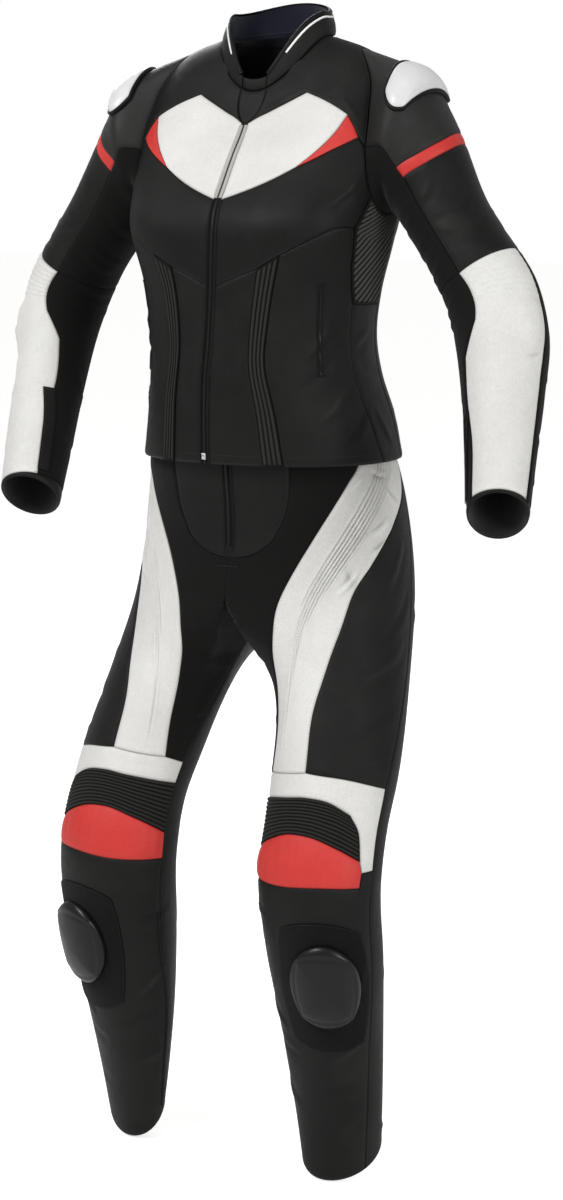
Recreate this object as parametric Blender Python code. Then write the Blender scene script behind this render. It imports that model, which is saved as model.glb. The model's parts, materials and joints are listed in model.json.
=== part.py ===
"""A two-piece motorcycle race suit, worn, with no wearer: hollow leather and stretch panels."""

import bpy
import numpy as np

# Driving dimensions, in metres and degrees. +Z is up, the front faces -Y and +X is the wearer's left.
WALL = 0.0024          # leather and stretch cloth
SEAM_GAP = 0.0005      # between neighbouring panels
LAID_GAP = 0.0004      # under a piece that lies on a panel
ZIP_HALF_TURN = 1.6
RIB_HEIGHT = 0.0022
HEM_LEVEL = -0.490
NECK_LEVEL = 0.006


def columns(names, *rows):
    """A table as a dictionary of named columns."""
    return dict(zip(names.split(), np.array(rows, float).T))


# Rings of the jacket body: half width, depth to the front and back, and height at the front, side and back.
BODY = columns(
    "level   half    front  back   middle  front_z  side_z  back_z square",
    (-0.490, 0.1605, 0.134, 0.128, -0.012, -0.490, -0.490, -0.490, 0.04),
    (-0.440, 0.1500, 0.133, 0.135, -0.018, -0.440, -0.440, -0.440, 0.04),
    (-0.390, 0.1400, 0.125, 0.126, -0.030, -0.390, -0.390, -0.390, 0.04),
    (-0.344, 0.1380, 0.117, 0.115, -0.036, -0.344, -0.344, -0.344, 0.04),
    (-0.290, 0.1450, 0.116, 0.115, -0.037, -0.290, -0.290, -0.290, 0.04),
    (-0.235, 0.1560, 0.122, 0.120, -0.032, -0.240, -0.235, -0.235, 0.05),
    (-0.180, 0.1640, 0.126, 0.126, -0.023, -0.198, -0.180, -0.180, 0.05),
    (-0.120, 0.1680, 0.115, 0.124, -0.012, -0.160, -0.120, -0.120, 0.05),
    (-0.070, 0.1620, 0.100, 0.110, -0.005, -0.128, -0.070, -0.075, 0.04),
    (-0.035, 0.1450, 0.084, 0.092, -0.001, -0.102, -0.030, -0.040, 0.02),
    (-0.012, 0.1140, 0.072, 0.076, 0.000, -0.080, -0.006, -0.016, 0.00),
    (0.0060, 0.0700, 0.060, 0.059, 0.000, -0.056, 0.008, 0.012, 0.00),
)
ZIP_LEAN = dict(turn=-6.0, reach=16.0, from_level=-0.200, to_level=-0.490)
BUST = dict(turn=38.0, turn_spread=24.0, level=-0.205, level_spread=0.050, lift=0.013)
ARMHOLE = dict(turn=88.0, level=-0.105, turn_reach=26.0, level_reach=0.092)
ARM_ROOT = dict(x=0.168, y=-0.005, z=-0.110)

# Sleeve rings: centre, half width towards the outside, half width towards the front. `steep` is how far the
# outside direction stands above level; 0 leaves the ring square to the sleeve.
LEFT_ARM = columns(
    "level  x      y       z       out    front  steep",
    (0.060, 0.179, -0.006, -0.115, 0.081, 0.072, 81),
    (0.130, 0.196, -0.008, -0.138, 0.069, 0.064, 67),
    (0.190, 0.210, -0.012, -0.158, 0.058, 0.057, 52),
    (0.260, 0.228, -0.017, -0.190, 0.050, 0.053, 0),
    (0.380, 0.263, -0.023, -0.238, 0.049, 0.050, 0),
    (0.500, 0.301, -0.031, -0.293, 0.054, 0.052, 0),
    (0.600, 0.325, -0.055, -0.340, 0.054, 0.051, 0),
    (0.720, 0.348, -0.101, -0.395, 0.047, 0.046, 0),
    (0.850, 0.371, -0.153, -0.453, 0.040, 0.039, 0),
    (1.000, 0.392, -0.204, -0.508, 0.035, 0.034, 0),
)
RIGHT_ARM = columns(
    "level  x       y       z       out    front  steep",
    (0.060, -0.179, -0.005, -0.115, 0.081, 0.072, 81),
    (0.130, -0.197, -0.005, -0.138, 0.069, 0.064, 67),
    (0.190, -0.213, -0.004, -0.160, 0.058, 0.058, 52),
    (0.260, -0.237, -0.002, -0.195, 0.052, 0.055, 0),
    (0.380, -0.274, -0.002, -0.245, 0.050, 0.053, 0),
    (0.500, -0.304, -0.005, -0.298, 0.052, 0.054, 0),
    (0.600, -0.311, -0.020, -0.345, 0.049, 0.052, 0),
    (0.720, -0.300, -0.056, -0.405, 0.044, 0.047, 0),
    (0.850, -0.284, -0.101, -0.468, 0.042, 0.042, 0),
    (1.000, -0.266, -0.148, -0.533, 0.038, 0.038, 0),
)
ARMS = {1: LEFT_ARM, -1: RIGHT_ARM}

# Trouser rings round both hips, then round one leg. A leg's turn is 0 at its front and 90 outside.
HIPS = columns(
    "level  half    front   back   middle  z       square",
    (0.430, 0.1380, 0.1000, 0.100, -0.018, -0.430, 0.03),
    (0.490, 0.1566, 0.1100, 0.112, -0.015, -0.490, 0.04),
    (0.530, 0.1630, 0.1145, 0.116, -0.006, -0.530, 0.04),
    (0.580, 0.1700, 0.1150, 0.119, -0.003, -0.582, 0.05),
    (0.650, 0.1780, 0.1190, 0.124, -0.010, -0.655, 0.06),
)
LEG = columns(
    "level  x      y       out    front  z       tilt   toe_out",
    (0.760, 0.118, -0.052, 0.079, 0.090, -0.760, 0.0, 0),
    (0.860, 0.137, -0.104, 0.076, 0.074, -0.860, 0.0, 0),
    (0.910, 0.141, -0.130, 0.074, 0.067, -0.910, 0.0, 0),
    (0.970, 0.142, -0.149, 0.076, 0.061, -0.970, 0.0, 0),
    (1.070, 0.145, -0.140, 0.072, 0.059, -1.070, 0.0, 0),
    (1.180, 0.146, -0.121, 0.061, 0.049, -1.180, 0.0, 12),
    (1.270, 0.148, -0.110, 0.053, 0.037, -1.270, 0.0, 22),
    (1.340, 0.149, -0.103, 0.048, 0.029, -1.327, 0.028, 28),
)
RISE = dict(front=-60.0, back=240.0, crotch_z=-0.645)
HEM_TURN = 5.0
COLLAR = dict(half=0.061, front=0.052, back=0.057, middle=0.004, front_z=-0.006, side_z=0.036, back_z=0.050)
COLLAR_OPEN = dict(edge=14.0, full=62.0, lowest=0.30)
FULL_TURN = np.array([360.0, 0.0])


def smooth(knots, values, at):
    """A smooth curve through the values (along the first axis) at the knots, read at each place."""
    slopes = np.gradient(values, knots, axis=0)
    k = np.clip(np.searchsorted(knots, at) - 1, 0, len(knots) - 2)
    span = knots[k + 1] - knots[k]
    t = (at - knots[k]) / span
    spread = (1,) * (values.ndim - 1)
    t = t.reshape(t.shape + spread)
    span = span.reshape(span.shape + spread)
    start = values[k] * (1 + 2 * t) * (1 - t) ** 2 + slopes[k] * span * t * (1 - t) ** 2
    return start + values[k + 1] * t * t * (3 - 2 * t) + slopes[k + 1] * span * t * t * (t - 1)


def through_sections(knots, sections, at):
    """A smooth run along a stack of sections, each holding one point for each place in `at`."""
    slopes = np.gradient(sections, knots, axis=0)
    k = np.clip(np.searchsorted(knots, at) - 1, 0, len(knots) - 2)
    span = (knots[k + 1] - knots[k])[..., None]
    t = (at - knots[k])[..., None] / span

    def pick(stack, index):
        wanted = np.broadcast_to(index[None, ..., None], (1,) + stack.shape[1:])
        return np.take_along_axis(stack, wanted, 0)[0]

    start = pick(sections, k) * (1 + 2 * t) * (1 - t) ** 2 + pick(slopes, k) * span * t * (1 - t) ** 2
    end = pick(sections, k + 1) * t * t * (3 - 2 * t) + pick(slopes, k + 1) * span * t * t * (t - 1)
    return start + end


def ring_point(turn, half, front, back, middle, front_z, side_z, back_z, square=0.0):
    s, c = np.sin(turn), np.cos(turn)
    fuller = 1 + square * np.sin(2 * turn) ** 2
    x = half * s * fuller
    y = middle - np.where(c > 0, front, back) * c * fuller
    z = side_z * s * s + np.where(c > 0, front_z, back_z) * c * c
    return np.stack(np.broadcast_arrays(x, y, z), -1)


def body(u, v):
    """The jacket body at turn u (0 front, 90 the wearer's left) and level v."""
    u, v = np.broadcast_arrays(np.asarray(u, float), np.asarray(v, float))
    share = np.clip((v - ZIP_LEAN["from_level"]) / (ZIP_LEAN["to_level"] - ZIP_LEAN["from_level"]), 0, 1)
    away = (u + 180) % 360 - 180
    u = u + ZIP_LEAN["turn"] * share * share * (3 - 2 * share) * np.exp(-((away / ZIP_LEAN["reach"]) ** 2))
    row = {name: smooth(BODY["level"], BODY[name], v) for name in BODY if name != "level"}
    turn = np.radians(u)
    point = ring_point(turn, **row)
    lift = 0.0
    for side in (-1, 1):
        across = (u - side * BUST["turn"]) / BUST["turn_spread"]
        along = (v - BUST["level"]) / BUST["level_spread"]
        lift = lift + BUST["lift"] * np.exp(-across**2 - along**2)
    outward = np.stack([np.sin(turn), -np.cos(turn), 0 * turn], -1)
    return point + outward * lift[..., None]


def armhole_place(angle):
    """Turn and level on the armhole, for an angle of 0 at its top and 90 at its front."""
    angle = np.radians(angle)
    turn = ARMHOLE["turn"] - ARMHOLE["turn_reach"] * np.sin(angle)
    return turn, ARMHOLE["level"] + ARMHOLE["level_reach"] * np.cos(angle)


def arm_frame(side, v):
    """Centre, outward direction and forward direction of a sleeve at level v."""
    arm = ARMS[side]
    knots = np.concatenate([[0.0], arm["level"]])
    root = [[side * ARM_ROOT["x"], ARM_ROOT["y"], ARM_ROOT["z"]]]
    centres = np.concatenate([root, np.stack([arm["x"], arm["y"], arm["z"]], -1)])
    run = smooth(knots, centres, v + 0.01) - smooth(knots, centres, v - 0.01)
    run /= np.linalg.norm(run, axis=-1, keepdims=True)
    outward = np.array([side, 0.0, 0.35])
    outward = outward - run * (run @ outward)[..., None]
    outward /= np.linalg.norm(outward, axis=-1, keepdims=True)
    return smooth(knots, centres, v), outward, np.cross(run, outward) * side


def arm_ring(side, i):
    """Centre, outward direction and forward direction of one row of a sleeve's table."""
    arm = ARMS[side]
    centre, outward, forward = arm_frame(side, arm["level"][i])
    if arm["steep"][i]:
        steep = np.radians(arm["steep"][i])
        outward, forward = np.array([side * np.cos(steep), 0.0, np.sin(steep)]), np.array([0.0, -1.0, 0.0])
    return centre, outward, forward


def sleeve(side):
    """The sleeve's surface: turn u is 0 outside and 90 in front, level v is 0 at the armhole and 1 at the wrist."""

    def surface(u, v):
        u, v = np.broadcast_arrays(np.asarray(u, float), np.asarray(v, float))
        arm = ARMS[side]
        turn = np.radians(u)
        armhole_turn, armhole_level = armhole_place(u)
        sections = [body(side * armhole_turn, armhole_level)]
        for i in range(len(arm["level"])):
            centre, outward, forward = arm_ring(side, i)
            reach = outward * (arm["out"][i] * np.cos(turn))[..., None]
            sections.append(centre + reach + forward * (arm["front"][i] * np.sin(turn))[..., None])
        return through_sections(np.concatenate([[0.0], arm["level"]]), np.stack(sections), v)

    return surface


def hip_section(i, u):
    """One trouser ring above the legs: half the hips, then back along the middle and under the crotch."""
    row = {name: HIPS[name][i] for name in HIPS}
    share = (u - RISE["front"]) / (RISE["back"] - RISE["front"])
    turn = np.radians(180 * np.clip(share, 0, 1))
    heights = dict(front_z=row["z"], side_z=row["z"], back_z=row["z"])
    sizes = {name: row[name] for name in ("half", "front", "back", "middle", "square")}
    around = ring_point(turn, **sizes, **heights)
    inside = (u < RISE["front"]) | (u > RISE["back"])
    inner_turn = np.where(u > RISE["back"], u - 360, u)
    forward = np.clip((inner_turn - RISE["back"] + 360) / (360 + RISE["front"] - RISE["back"]), 0, 1)
    back_y, front_y = row["middle"] + row["back"], row["middle"] - row["front"]
    drop = 4 * forward * (1 - forward) * (RISE["crotch_z"] - row["z"]) * (i == len(HIPS["level"]) - 1)
    under = np.stack([0 * forward, back_y + (front_y - back_y) * forward, row["z"] + drop], -1)
    return np.where(inside[..., None], under, around)


def leg(side):
    """One leg's surface with its half of the hips: turn u is 0 in front and 90 outside, v grows downwards."""

    def surface(u, v):
        u, v = np.broadcast_arrays(np.asarray(u, float), np.asarray(v, float))
        sections = [hip_section(i, u) for i in range(len(HIPS["level"]))]
        turn = np.radians(u)
        for i in range(len(LEG["level"])):
            row = {name: LEG[name][i] for name in LEG}
            toe_out = np.radians(row["toe_out"])
            wide, deep = row["out"] * np.sin(turn - toe_out), row["front"] * np.cos(turn - toe_out)
            x = row["x"] + wide * np.cos(toe_out) + deep * np.sin(toe_out)
            y = row["y"] + wide * np.sin(toe_out) - deep * np.cos(toe_out)
            z = row["z"] - row["tilt"] * np.cos(turn - np.radians(HEM_TURN))
            sections.append(np.stack([x, y, z], -1))
        knots = np.concatenate([HIPS["level"], LEG["level"]])
        return through_sections(knots, np.stack(sections), v) * np.array([side, 1, 1])

    return surface


def collar(u, v):
    """The collar's surface: v is 0 at the neck seam and 1 at the rim, which falls towards the open front."""
    u, v = np.broadcast_arrays(np.asarray(u, float), np.asarray(v, float))
    base = body(u, np.full(u.shape, NECK_LEVEL))
    rim = ring_point(np.radians(u), **COLLAR)
    away = np.minimum(u % 360, 360 - u % 360)
    rise = np.clip((away - COLLAR_OPEN["edge"]) / (COLLAR_OPEN["full"] - COLLAR_OPEN["edge"]), 0, 1)
    rise = COLLAR_OPEN["lowest"] + (1 - COLLAR_OPEN["lowest"]) * np.sin(rise * np.pi / 2)
    share = (v * rise)[..., None]
    bulge = np.stack([np.sin(np.radians(u)), -np.cos(np.radians(u)), 0 * u], -1) * 0.003
    return base + (rim - base) * share + bulge * share * (1 - share) * 4


def facing(surface, u, v, flip):
    """Unit normals of a surface, pointing out of the garment."""
    along_u = surface(u + 0.4, v) - surface(u - 0.4, v)
    along_v = surface(u, v + 0.001) - surface(u, v - 0.001)
    normal = np.cross(along_u, along_v) * flip
    return normal / np.linalg.norm(normal, axis=-1, keepdims=True)


def armhole_mitre(side, angle):
    """The normal that body and sleeve share on the armhole."""
    turn, level = armhole_place(angle)
    normal = facing(body, side * turn, level, 1) + facing(sleeve(side), angle, 0 * angle, side)
    return normal / np.linalg.norm(normal, axis=-1, keepdims=True)


def body_normal(u, v):
    normal = facing(body, u, v, 1)
    turn = (u + 180) % 360 - 180
    ahead = (ARMHOLE["turn"] - np.abs(turn)) / ARMHOLE["turn_reach"]
    above = (v - ARMHOLE["level"]) / ARMHOLE["level_reach"]
    on_edge = np.abs(np.hypot(ahead, above) - 1) < 1e-4
    angle = np.degrees(np.arctan2(ahead, above))
    for side in (-1, 1):
        shared = armhole_mitre(side, angle)
        normal = np.where((on_edge & (turn * side > 0))[..., None], shared, normal)
    return normal


def sleeve_normal(side):
    def normals(u, v):
        own = facing(sleeve(side), u, v, side)
        return np.where((v < 1e-6)[..., None], armhole_mitre(side, u), own)

    return normals


def leg_normal(side):
    return lambda u, v: facing(leg(side), u, v, -side)


def collar_normal(u, v):
    return facing(collar, u, v, 1)


def trace(count, *places):
    """`count` equal steps along a smooth line through (turn, level) places."""
    places = np.array(places, float)
    if len(places) == 2:
        return places[0] + (places[1] - places[0]) * np.linspace(0, 1, count + 1)[:, None]
    scale = np.array([0.0024, 1.0])
    steps = np.linalg.norm(np.diff(places, axis=0) * scale, axis=1)
    knots = np.concatenate([[0.0], np.cumsum(steps)])
    return smooth(knots, places, np.linspace(0, knots[-1], count + 1))


def armhole_arc(count, start, end):
    turn, level = armhole_place(np.linspace(start, end, count + 1))
    return np.stack([turn, level], -1)


def armhole_point(angle):
    return np.array(armhole_place(angle))


def chain(*lines):
    """Lines joined end to end."""
    return np.concatenate([lines[0]] + [line[1:] for line in lines[1:]])


def mirrored(line):
    return line * np.array([-1, 1])


def patch(low, high, left, right):
    """A grid of (turn, level) places filled in between four edges: rows run from low to high."""
    s = np.linspace(0, 1, len(low))[None, :, None]
    t = np.linspace(0, 1, len(left))[:, None, None]
    across = (1 - s) * left[:, None] + s * right[:, None]
    along = (1 - t) * low[None] + t * high[None]
    corners = (1 - s) * (1 - t) * low[0] + s * (1 - t) * low[-1]
    corners = corners + (1 - s) * t * high[0] + s * t * high[-1]
    return across + along - corners


def strip(left, right, count):
    """A grid of places between two edges, `count` cells wide."""
    s = np.linspace(0, 1, count + 1)[None, :, None]
    return (1 - s) * left[:, None] + s * right[:, None]


def unit(vector):
    return vector / np.linalg.norm(vector, axis=-1, keepdims=True)


def edge_shift(edge, inside):
    """Half the seam gap, square to an edge and towards the inside."""
    inward = inside - edge
    along = unit(np.gradient(edge, axis=0))
    inward = inward - along * (inward * along).sum(-1, keepdims=True)
    return unit(inward) * SEAM_GAP / 2


def seam_shift(grid, ring):
    """How far each point of a panel moves in, so that it stands clear of its neighbours."""
    shift = np.zeros_like(grid)
    shift[0] += edge_shift(grid[0], grid[1])
    shift[-1] += edge_shift(grid[-1], grid[-2])
    if not ring:
        shift[:, 0] += edge_shift(grid[:, 0], grid[:, 1])
        shift[:, -1] += edge_shift(grid[:, -1], grid[:, -2])
    return shift


FINISHES = {
    "black_leather": ((0.028, 0.028, 0.026), 0.48, 0.0),
    "white_leather": ((0.80, 0.80, 0.78), 0.42, 0.0),
    "red_leather": ((0.72, 0.045, 0.032), 0.42, 0.0),
    "stretch_cloth": ((0.012, 0.012, 0.011), 0.85, 0.0),
    "hard_white": ((0.82, 0.82, 0.80), 0.30, 0.0),
    "hard_black": ((0.03, 0.03, 0.03), 0.35, 0.0),
    "zip_metal": ((0.16, 0.16, 0.16), 0.35, 0.8),
    "velcro": ((0.02, 0.02, 0.02), 0.92, 0.0),
}


def finish(name):
    made = bpy.data.materials.get(name)
    if made:
        return made
    colour, roughness, metallic = FINISHES[name]
    made = bpy.data.materials.new(name)
    made.use_nodes = True
    shader = made.node_tree.nodes["Principled BSDF"]
    shader.inputs["Base Color"].default_value = (*colour, 1.0)
    shader.inputs["Roughness"].default_value = roughness
    shader.inputs["Metallic"].default_value = metallic
    return made


def solid(name, outer, inner, look, ring=False):
    """One closed body between an outer and an inner grid of points."""
    rows, count = outer.shape[:2]
    half = rows * count
    spans = count if ring else count - 1
    points = np.concatenate([outer.reshape(-1, 3), inner.reshape(-1, 3)])
    faces = []

    def rim(a, b):
        """The edge between two outer points and their inner points, cut along its shorter diagonal."""
        c, d = half + b, half + a
        if np.linalg.norm(points[a] - points[c]) < np.linalg.norm(points[b] - points[d]):
            faces.extend([(a, b, c), (a, c, d)])
        else:
            faces.extend([(a, b, d), (b, c, d)])

    for i in range(rows - 1):
        for j in range(spans):
            a, b = i * count + j, i * count + (j + 1) % count
            faces.append((a, b, b + count, a + count))
            faces.append((half + a, half + a + count, half + b + count, half + b))
    for j in range(spans):
        a, b = j, (j + 1) % count
        rim(b, a)
        rim(a + half - count, b + half - count)
    for i in range(0 if ring else rows - 1):
        a, b = i * count, (i + 1) * count
        rim(a, b)
        rim(b + count - 1, a + count - 1)
    corners = np.array([face[:3] for face in faces] + [(face[0], *face[-2:]) for face in faces if len(face) == 4])
    if np.linalg.det(points[corners] - points.mean(0)).sum() < 0:
        faces = [face[::-1] for face in faces]
    mesh = bpy.data.meshes.new(name)
    mesh.from_pydata(points.tolist(), [], faces)
    mesh.materials.append(finish(look))
    mesh.shade_smooth()
    mesh.set_sharp_from_angle(angle=np.radians(40))
    piece = bpy.data.objects.new(name, mesh)
    bpy.context.scene.collection.objects.link(piece)
    return piece


EDGES = dict(low=np.s_[0], high=np.s_[-1], left=np.s_[:, 0], right=np.s_[:, -1])


def straighten(points, edge, step):
    """Puts an edge's points on straight lines between every `step`th one, as its neighbour has them."""
    line = points[EDGES[edge]]
    places = np.arange(len(line))
    for axis in range(3):
        line[:, axis] = np.interp(places, places[::step], line[::step, axis])


def panel(
    name, places, surface, normals, look, raised=None, ring=False, clear=None, chords=None, lift=0.0, wall=WALL
):
    """A wall along a surface: `places` is its grid, `raised` the relief of its outer points."""
    u, v = places[..., 0], places[..., 1]
    points, facing_out = surface(u, v), normals(u, v)
    for edge, step in (chords or {}).items():
        straighten(points, edge, step)
        straighten(facing_out, edge, step)
    shift = seam_shift(points, ring)
    relief = 0.0 if raised is None else raised[..., None]
    outer = points + shift + facing_out * (lift + relief)
    inner = points + shift + facing_out * (lift - wall)
    if clear is not None:
        outer[..., 0] = np.where(outer[..., 0] * clear < SEAM_GAP / 2, clear * SEAM_GAP / 2, outer[..., 0])
        inner[..., 0] = np.where(inner[..., 0] * clear < SEAM_GAP / 2, clear * SEAM_GAP / 2, inner[..., 0])
    return solid(name, outer, inner, look, ring)


def cords(shape, axis, first=0, last=None):
    """Relief of ribs, high on every second line of a grid and plain on its edges."""
    rows, count = shape
    relief = np.zeros(shape)
    last = shape[axis] - 1 if last is None else last
    lines = np.arange(first + 1, last, 2)
    if axis == 0:
        relief[lines, 1:-1] = RIB_HEIGHT
    else:
        relief[1:-1, lines] = RIB_HEIGHT
    return relief


for old in list(bpy.data.objects):
    bpy.data.objects.remove(old, do_unlink=True)

SIDES = (("l", 1), ("r", -1))
LOWER_ROWS = 7

# Jacket seams, as (turn, level) on the wearer's left.
zip_lower = trace(LOWER_ROWS, (ZIP_HALF_TURN, HEM_LEVEL), (ZIP_HALF_TURN, -0.2812))
insert_in = trace(LOWER_ROWS, (22.3, HEM_LEVEL), (21.8, -0.411), (20.0, -0.365), (20.4, -0.319), (22.0, -0.2585))
insert_out = trace(LOWER_ROWS, (30.0, HEM_LEVEL), (29.0, -0.411), (26.9, -0.365), (28.1, -0.319), (30.7, -0.2422))
side_low = trace(5, (84.0, HEM_LEVEL), (78.0, -0.40), (74.6, -0.3017))
side_high = chain(trace(1, (74.6, -0.3017), (68.0, -0.26)), trace(1, (68.0, -0.26), (64.0, -0.2117)))
accordion_front = chain(
    trace(6, (74.6, -0.3017), (68.0, -0.26)),
    trace(6, (68.0, -0.26), (64.0, -0.2117)),
    trace(3, (64.0, -0.2117), armhole_point(140)),
)
back_low = trace(5, (108.0, HEM_LEVEL), (107.0, -0.39), (106.0, -0.3045))
under_bust = chain(
    trace(3, (ZIP_HALF_TURN, -0.2812), (22.0, -0.2585)),
    trace(3, (22.0, -0.2585), (30.7, -0.2422)),
    trace(6, (30.7, -0.2422), (42.2, -0.2229), (54.0, -0.2100), (64.0, -0.2117)),
)
chest_low = trace(6, (ZIP_HALF_TURN, -0.1543), (30.0, -0.1128))
chest_top = trace(6, (ZIP_HALF_TURN, -0.0255), (23.4, -0.0145), (36.8, -0.0159), (51.8, -0.062))
chest_side = trace(3, (30.0, -0.1128), (51.8, -0.062))
wedge_low = trace(2, (30.0, -0.1128), (44.9, -0.1005))
wedge_side = trace(3, (44.9, -0.1005), (57.4, -0.0963))
wedge_top = trace(2, (51.8, -0.062), (57.4, -0.0963))
yoke_end = trace(1, (57.4, -0.0963), armhole_point(95))
neck_front = trace(9, (14.0, NECK_LEVEL), (88.0, NECK_LEVEL))
flap_edge = trace(8, (ZIP_HALF_TURN, -0.0255), (14.0, NECK_LEVEL))
shoulder_line = trace(2, (88.0, ARMHOLE["level"] + ARMHOLE["level_reach"]), (88.0, NECK_LEVEL))


def jacket_half(letter, side):
    """The panels of one half of the jacket front and side."""
    turn = (lambda grid: grid) if side > 0 else (lambda grid: grid * np.array([-1, 1]))

    def make(name, places, look, raised=None):
        panel(f"{name}_{letter}", turn(places), body, body_normal, look, raised)

    make("front_panel", strip(zip_lower, insert_in, 3), "black_leather")
    insert = strip(insert_in, insert_out, 8)
    make("princess_insert", insert, "stretch_cloth", cords(insert.shape[:2], 1))
    low = trace(6, (30.0, HEM_LEVEL), (84.0, HEM_LEVEL))
    make("side_front", patch(low, under_bust[6:], insert_out, chain(side_low, side_high)), "black_leather")
    make("side_back", strip(side_low, back_low, 4), "black_leather")
    high = armhole_arc(4, 140, 220)
    low = trace(4, (74.6, -0.3017), (106.0, -0.3045))
    back = chain(trace(12, (106.0, -0.3045), (105.0, -0.2117)), trace(3, (105.0, -0.2117), armhole_point(220)))
    accordion = patch(low, high, accordion_front, back)
    make("side_stretch", accordion, "stretch_cloth", cords(accordion.shape[:2], 0))
    right = chain(trace(3, (64.0, -0.2117), armhole_point(140)), armhole_arc(3, 140, 95))
    left = trace(6, (ZIP_HALF_TURN, -0.2812), (ZIP_HALF_TURN, -0.1543))
    high = chain(chest_low, wedge_low, wedge_side, yoke_end)
    make("bust_panel", patch(under_bust, high, left, right), "black_leather")
    left = trace(3, (ZIP_HALF_TURN, -0.1543), (ZIP_HALF_TURN, -0.0255))
    make("chest_panel", patch(chest_low, chest_top, left, chest_side), "white_leather")
    make("chest_wedge", patch(wedge_low, wedge_top, chest_side, wedge_side), "red_leather")
    right = chain(armhole_arc(6, 95, 0), shoulder_line)
    low = chain(chest_top, wedge_top, yoke_end)
    make("front_yoke", patch(low, neck_front, flap_edge, right), "black_leather")


for letter, side in SIDES:
    jacket_half(letter, side)


def mirror_edge(line):
    """The same edge on the other side, for a panel that crosses the middle of the back."""
    return np.stack([360 - line[:, 0], line[:, 1]], -1)


back_line = trace(8, armhole_point(270), (180.0, -0.098), (246.0, -0.105))
back_yoke_side = chain(armhole_arc(6, 270, 360), shoulder_line)
neck_back = trace(8, (88.0, NECK_LEVEL), (272.0, NECK_LEVEL))
back_side = chain(
    back_low,
    trace(2, (106.0, -0.3045), (105.0, -0.2117)),
    trace(3, (105.0, -0.2117), armhole_point(220)),
    armhole_arc(3, 220, 270),
)
lower_back = patch(trace(8, (108.0, HEM_LEVEL), (252.0, HEM_LEVEL)), back_line, back_side, mirror_edge(back_side))
upper_back = patch(back_line, neck_back, back_yoke_side, mirror_edge(back_yoke_side))
panel("back_panel", chain(lower_back, upper_back), body, body_normal, "black_leather")
zip_edge = trace(15, (ZIP_HALF_TURN, HEM_LEVEL), (ZIP_HALF_TURN, -0.0255))
panel("front_zip", strip(mirrored(zip_edge), zip_edge, 1), body, body_normal, "zip_metal")
panel("throat_flap", strip(mirrored(flap_edge), flap_edge, 2), body, body_normal, "black_leather")
collar_foot = chain(neck_front, neck_back, mirror_edge(neck_front)[::-1])
collar_rows = np.linspace(0, 1, 3)[:, None]
collar_places = np.stack(np.broadcast_arrays(collar_foot[None, :, 0], collar_rows), -1)
panel("collar", collar_places, collar, collar_normal, "black_leather")

# Sleeve seams, as (turn, level) for either arm.
FRONT_TURN = 95.0
BACK_TURN = -90.0
stripe_high = trace(
    12, (BACK_TURN, 0.150), (-45.0, 0.168), (0.0, 0.181), (35.0, 0.183), (68.0, 0.1685), (FRONT_TURN, 0.138)
)
stripe_low = trace(
    12, (BACK_TURN, 0.172), (-45.0, 0.189), (0.0, 0.200), (35.0, 0.203), (68.0, 0.1945), (FRONT_TURN, 0.174)
)
STRIPE_RISE = {1: 0.0, -1: -0.024}
elbow_seam = chain(
    trace(4, (BACK_TURN, 0.435), (-2.0, 0.436)),
    trace(8, (-2.0, 0.436), (45.0, 0.444), (FRONT_TURN, 0.452)),
)
forearm_front = chain(
    trace(12, (FRONT_TURN, 0.452), (92.0, 0.500), (93.0, 0.565), (96.0, 0.590)),
    trace(2, (96.0, 0.590), (120.0, 0.665)),
    trace(4, (120.0, 0.665), (123.0, 0.760), (116.0, 0.850), (117.0, 1.0)),
)
forearm_levels = np.concatenate(
    [np.linspace(0.436, 0.590, 13), np.linspace(0.590, 0.665, 3)[1:], np.linspace(0.665, 1.0, 5)[1:]]
)
CUFF = dict(turn=60.0, least=0.008, most=0.034)


def line_at(turn, levels):
    return np.stack(np.broadcast_arrays(float(turn), levels), -1)


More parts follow.
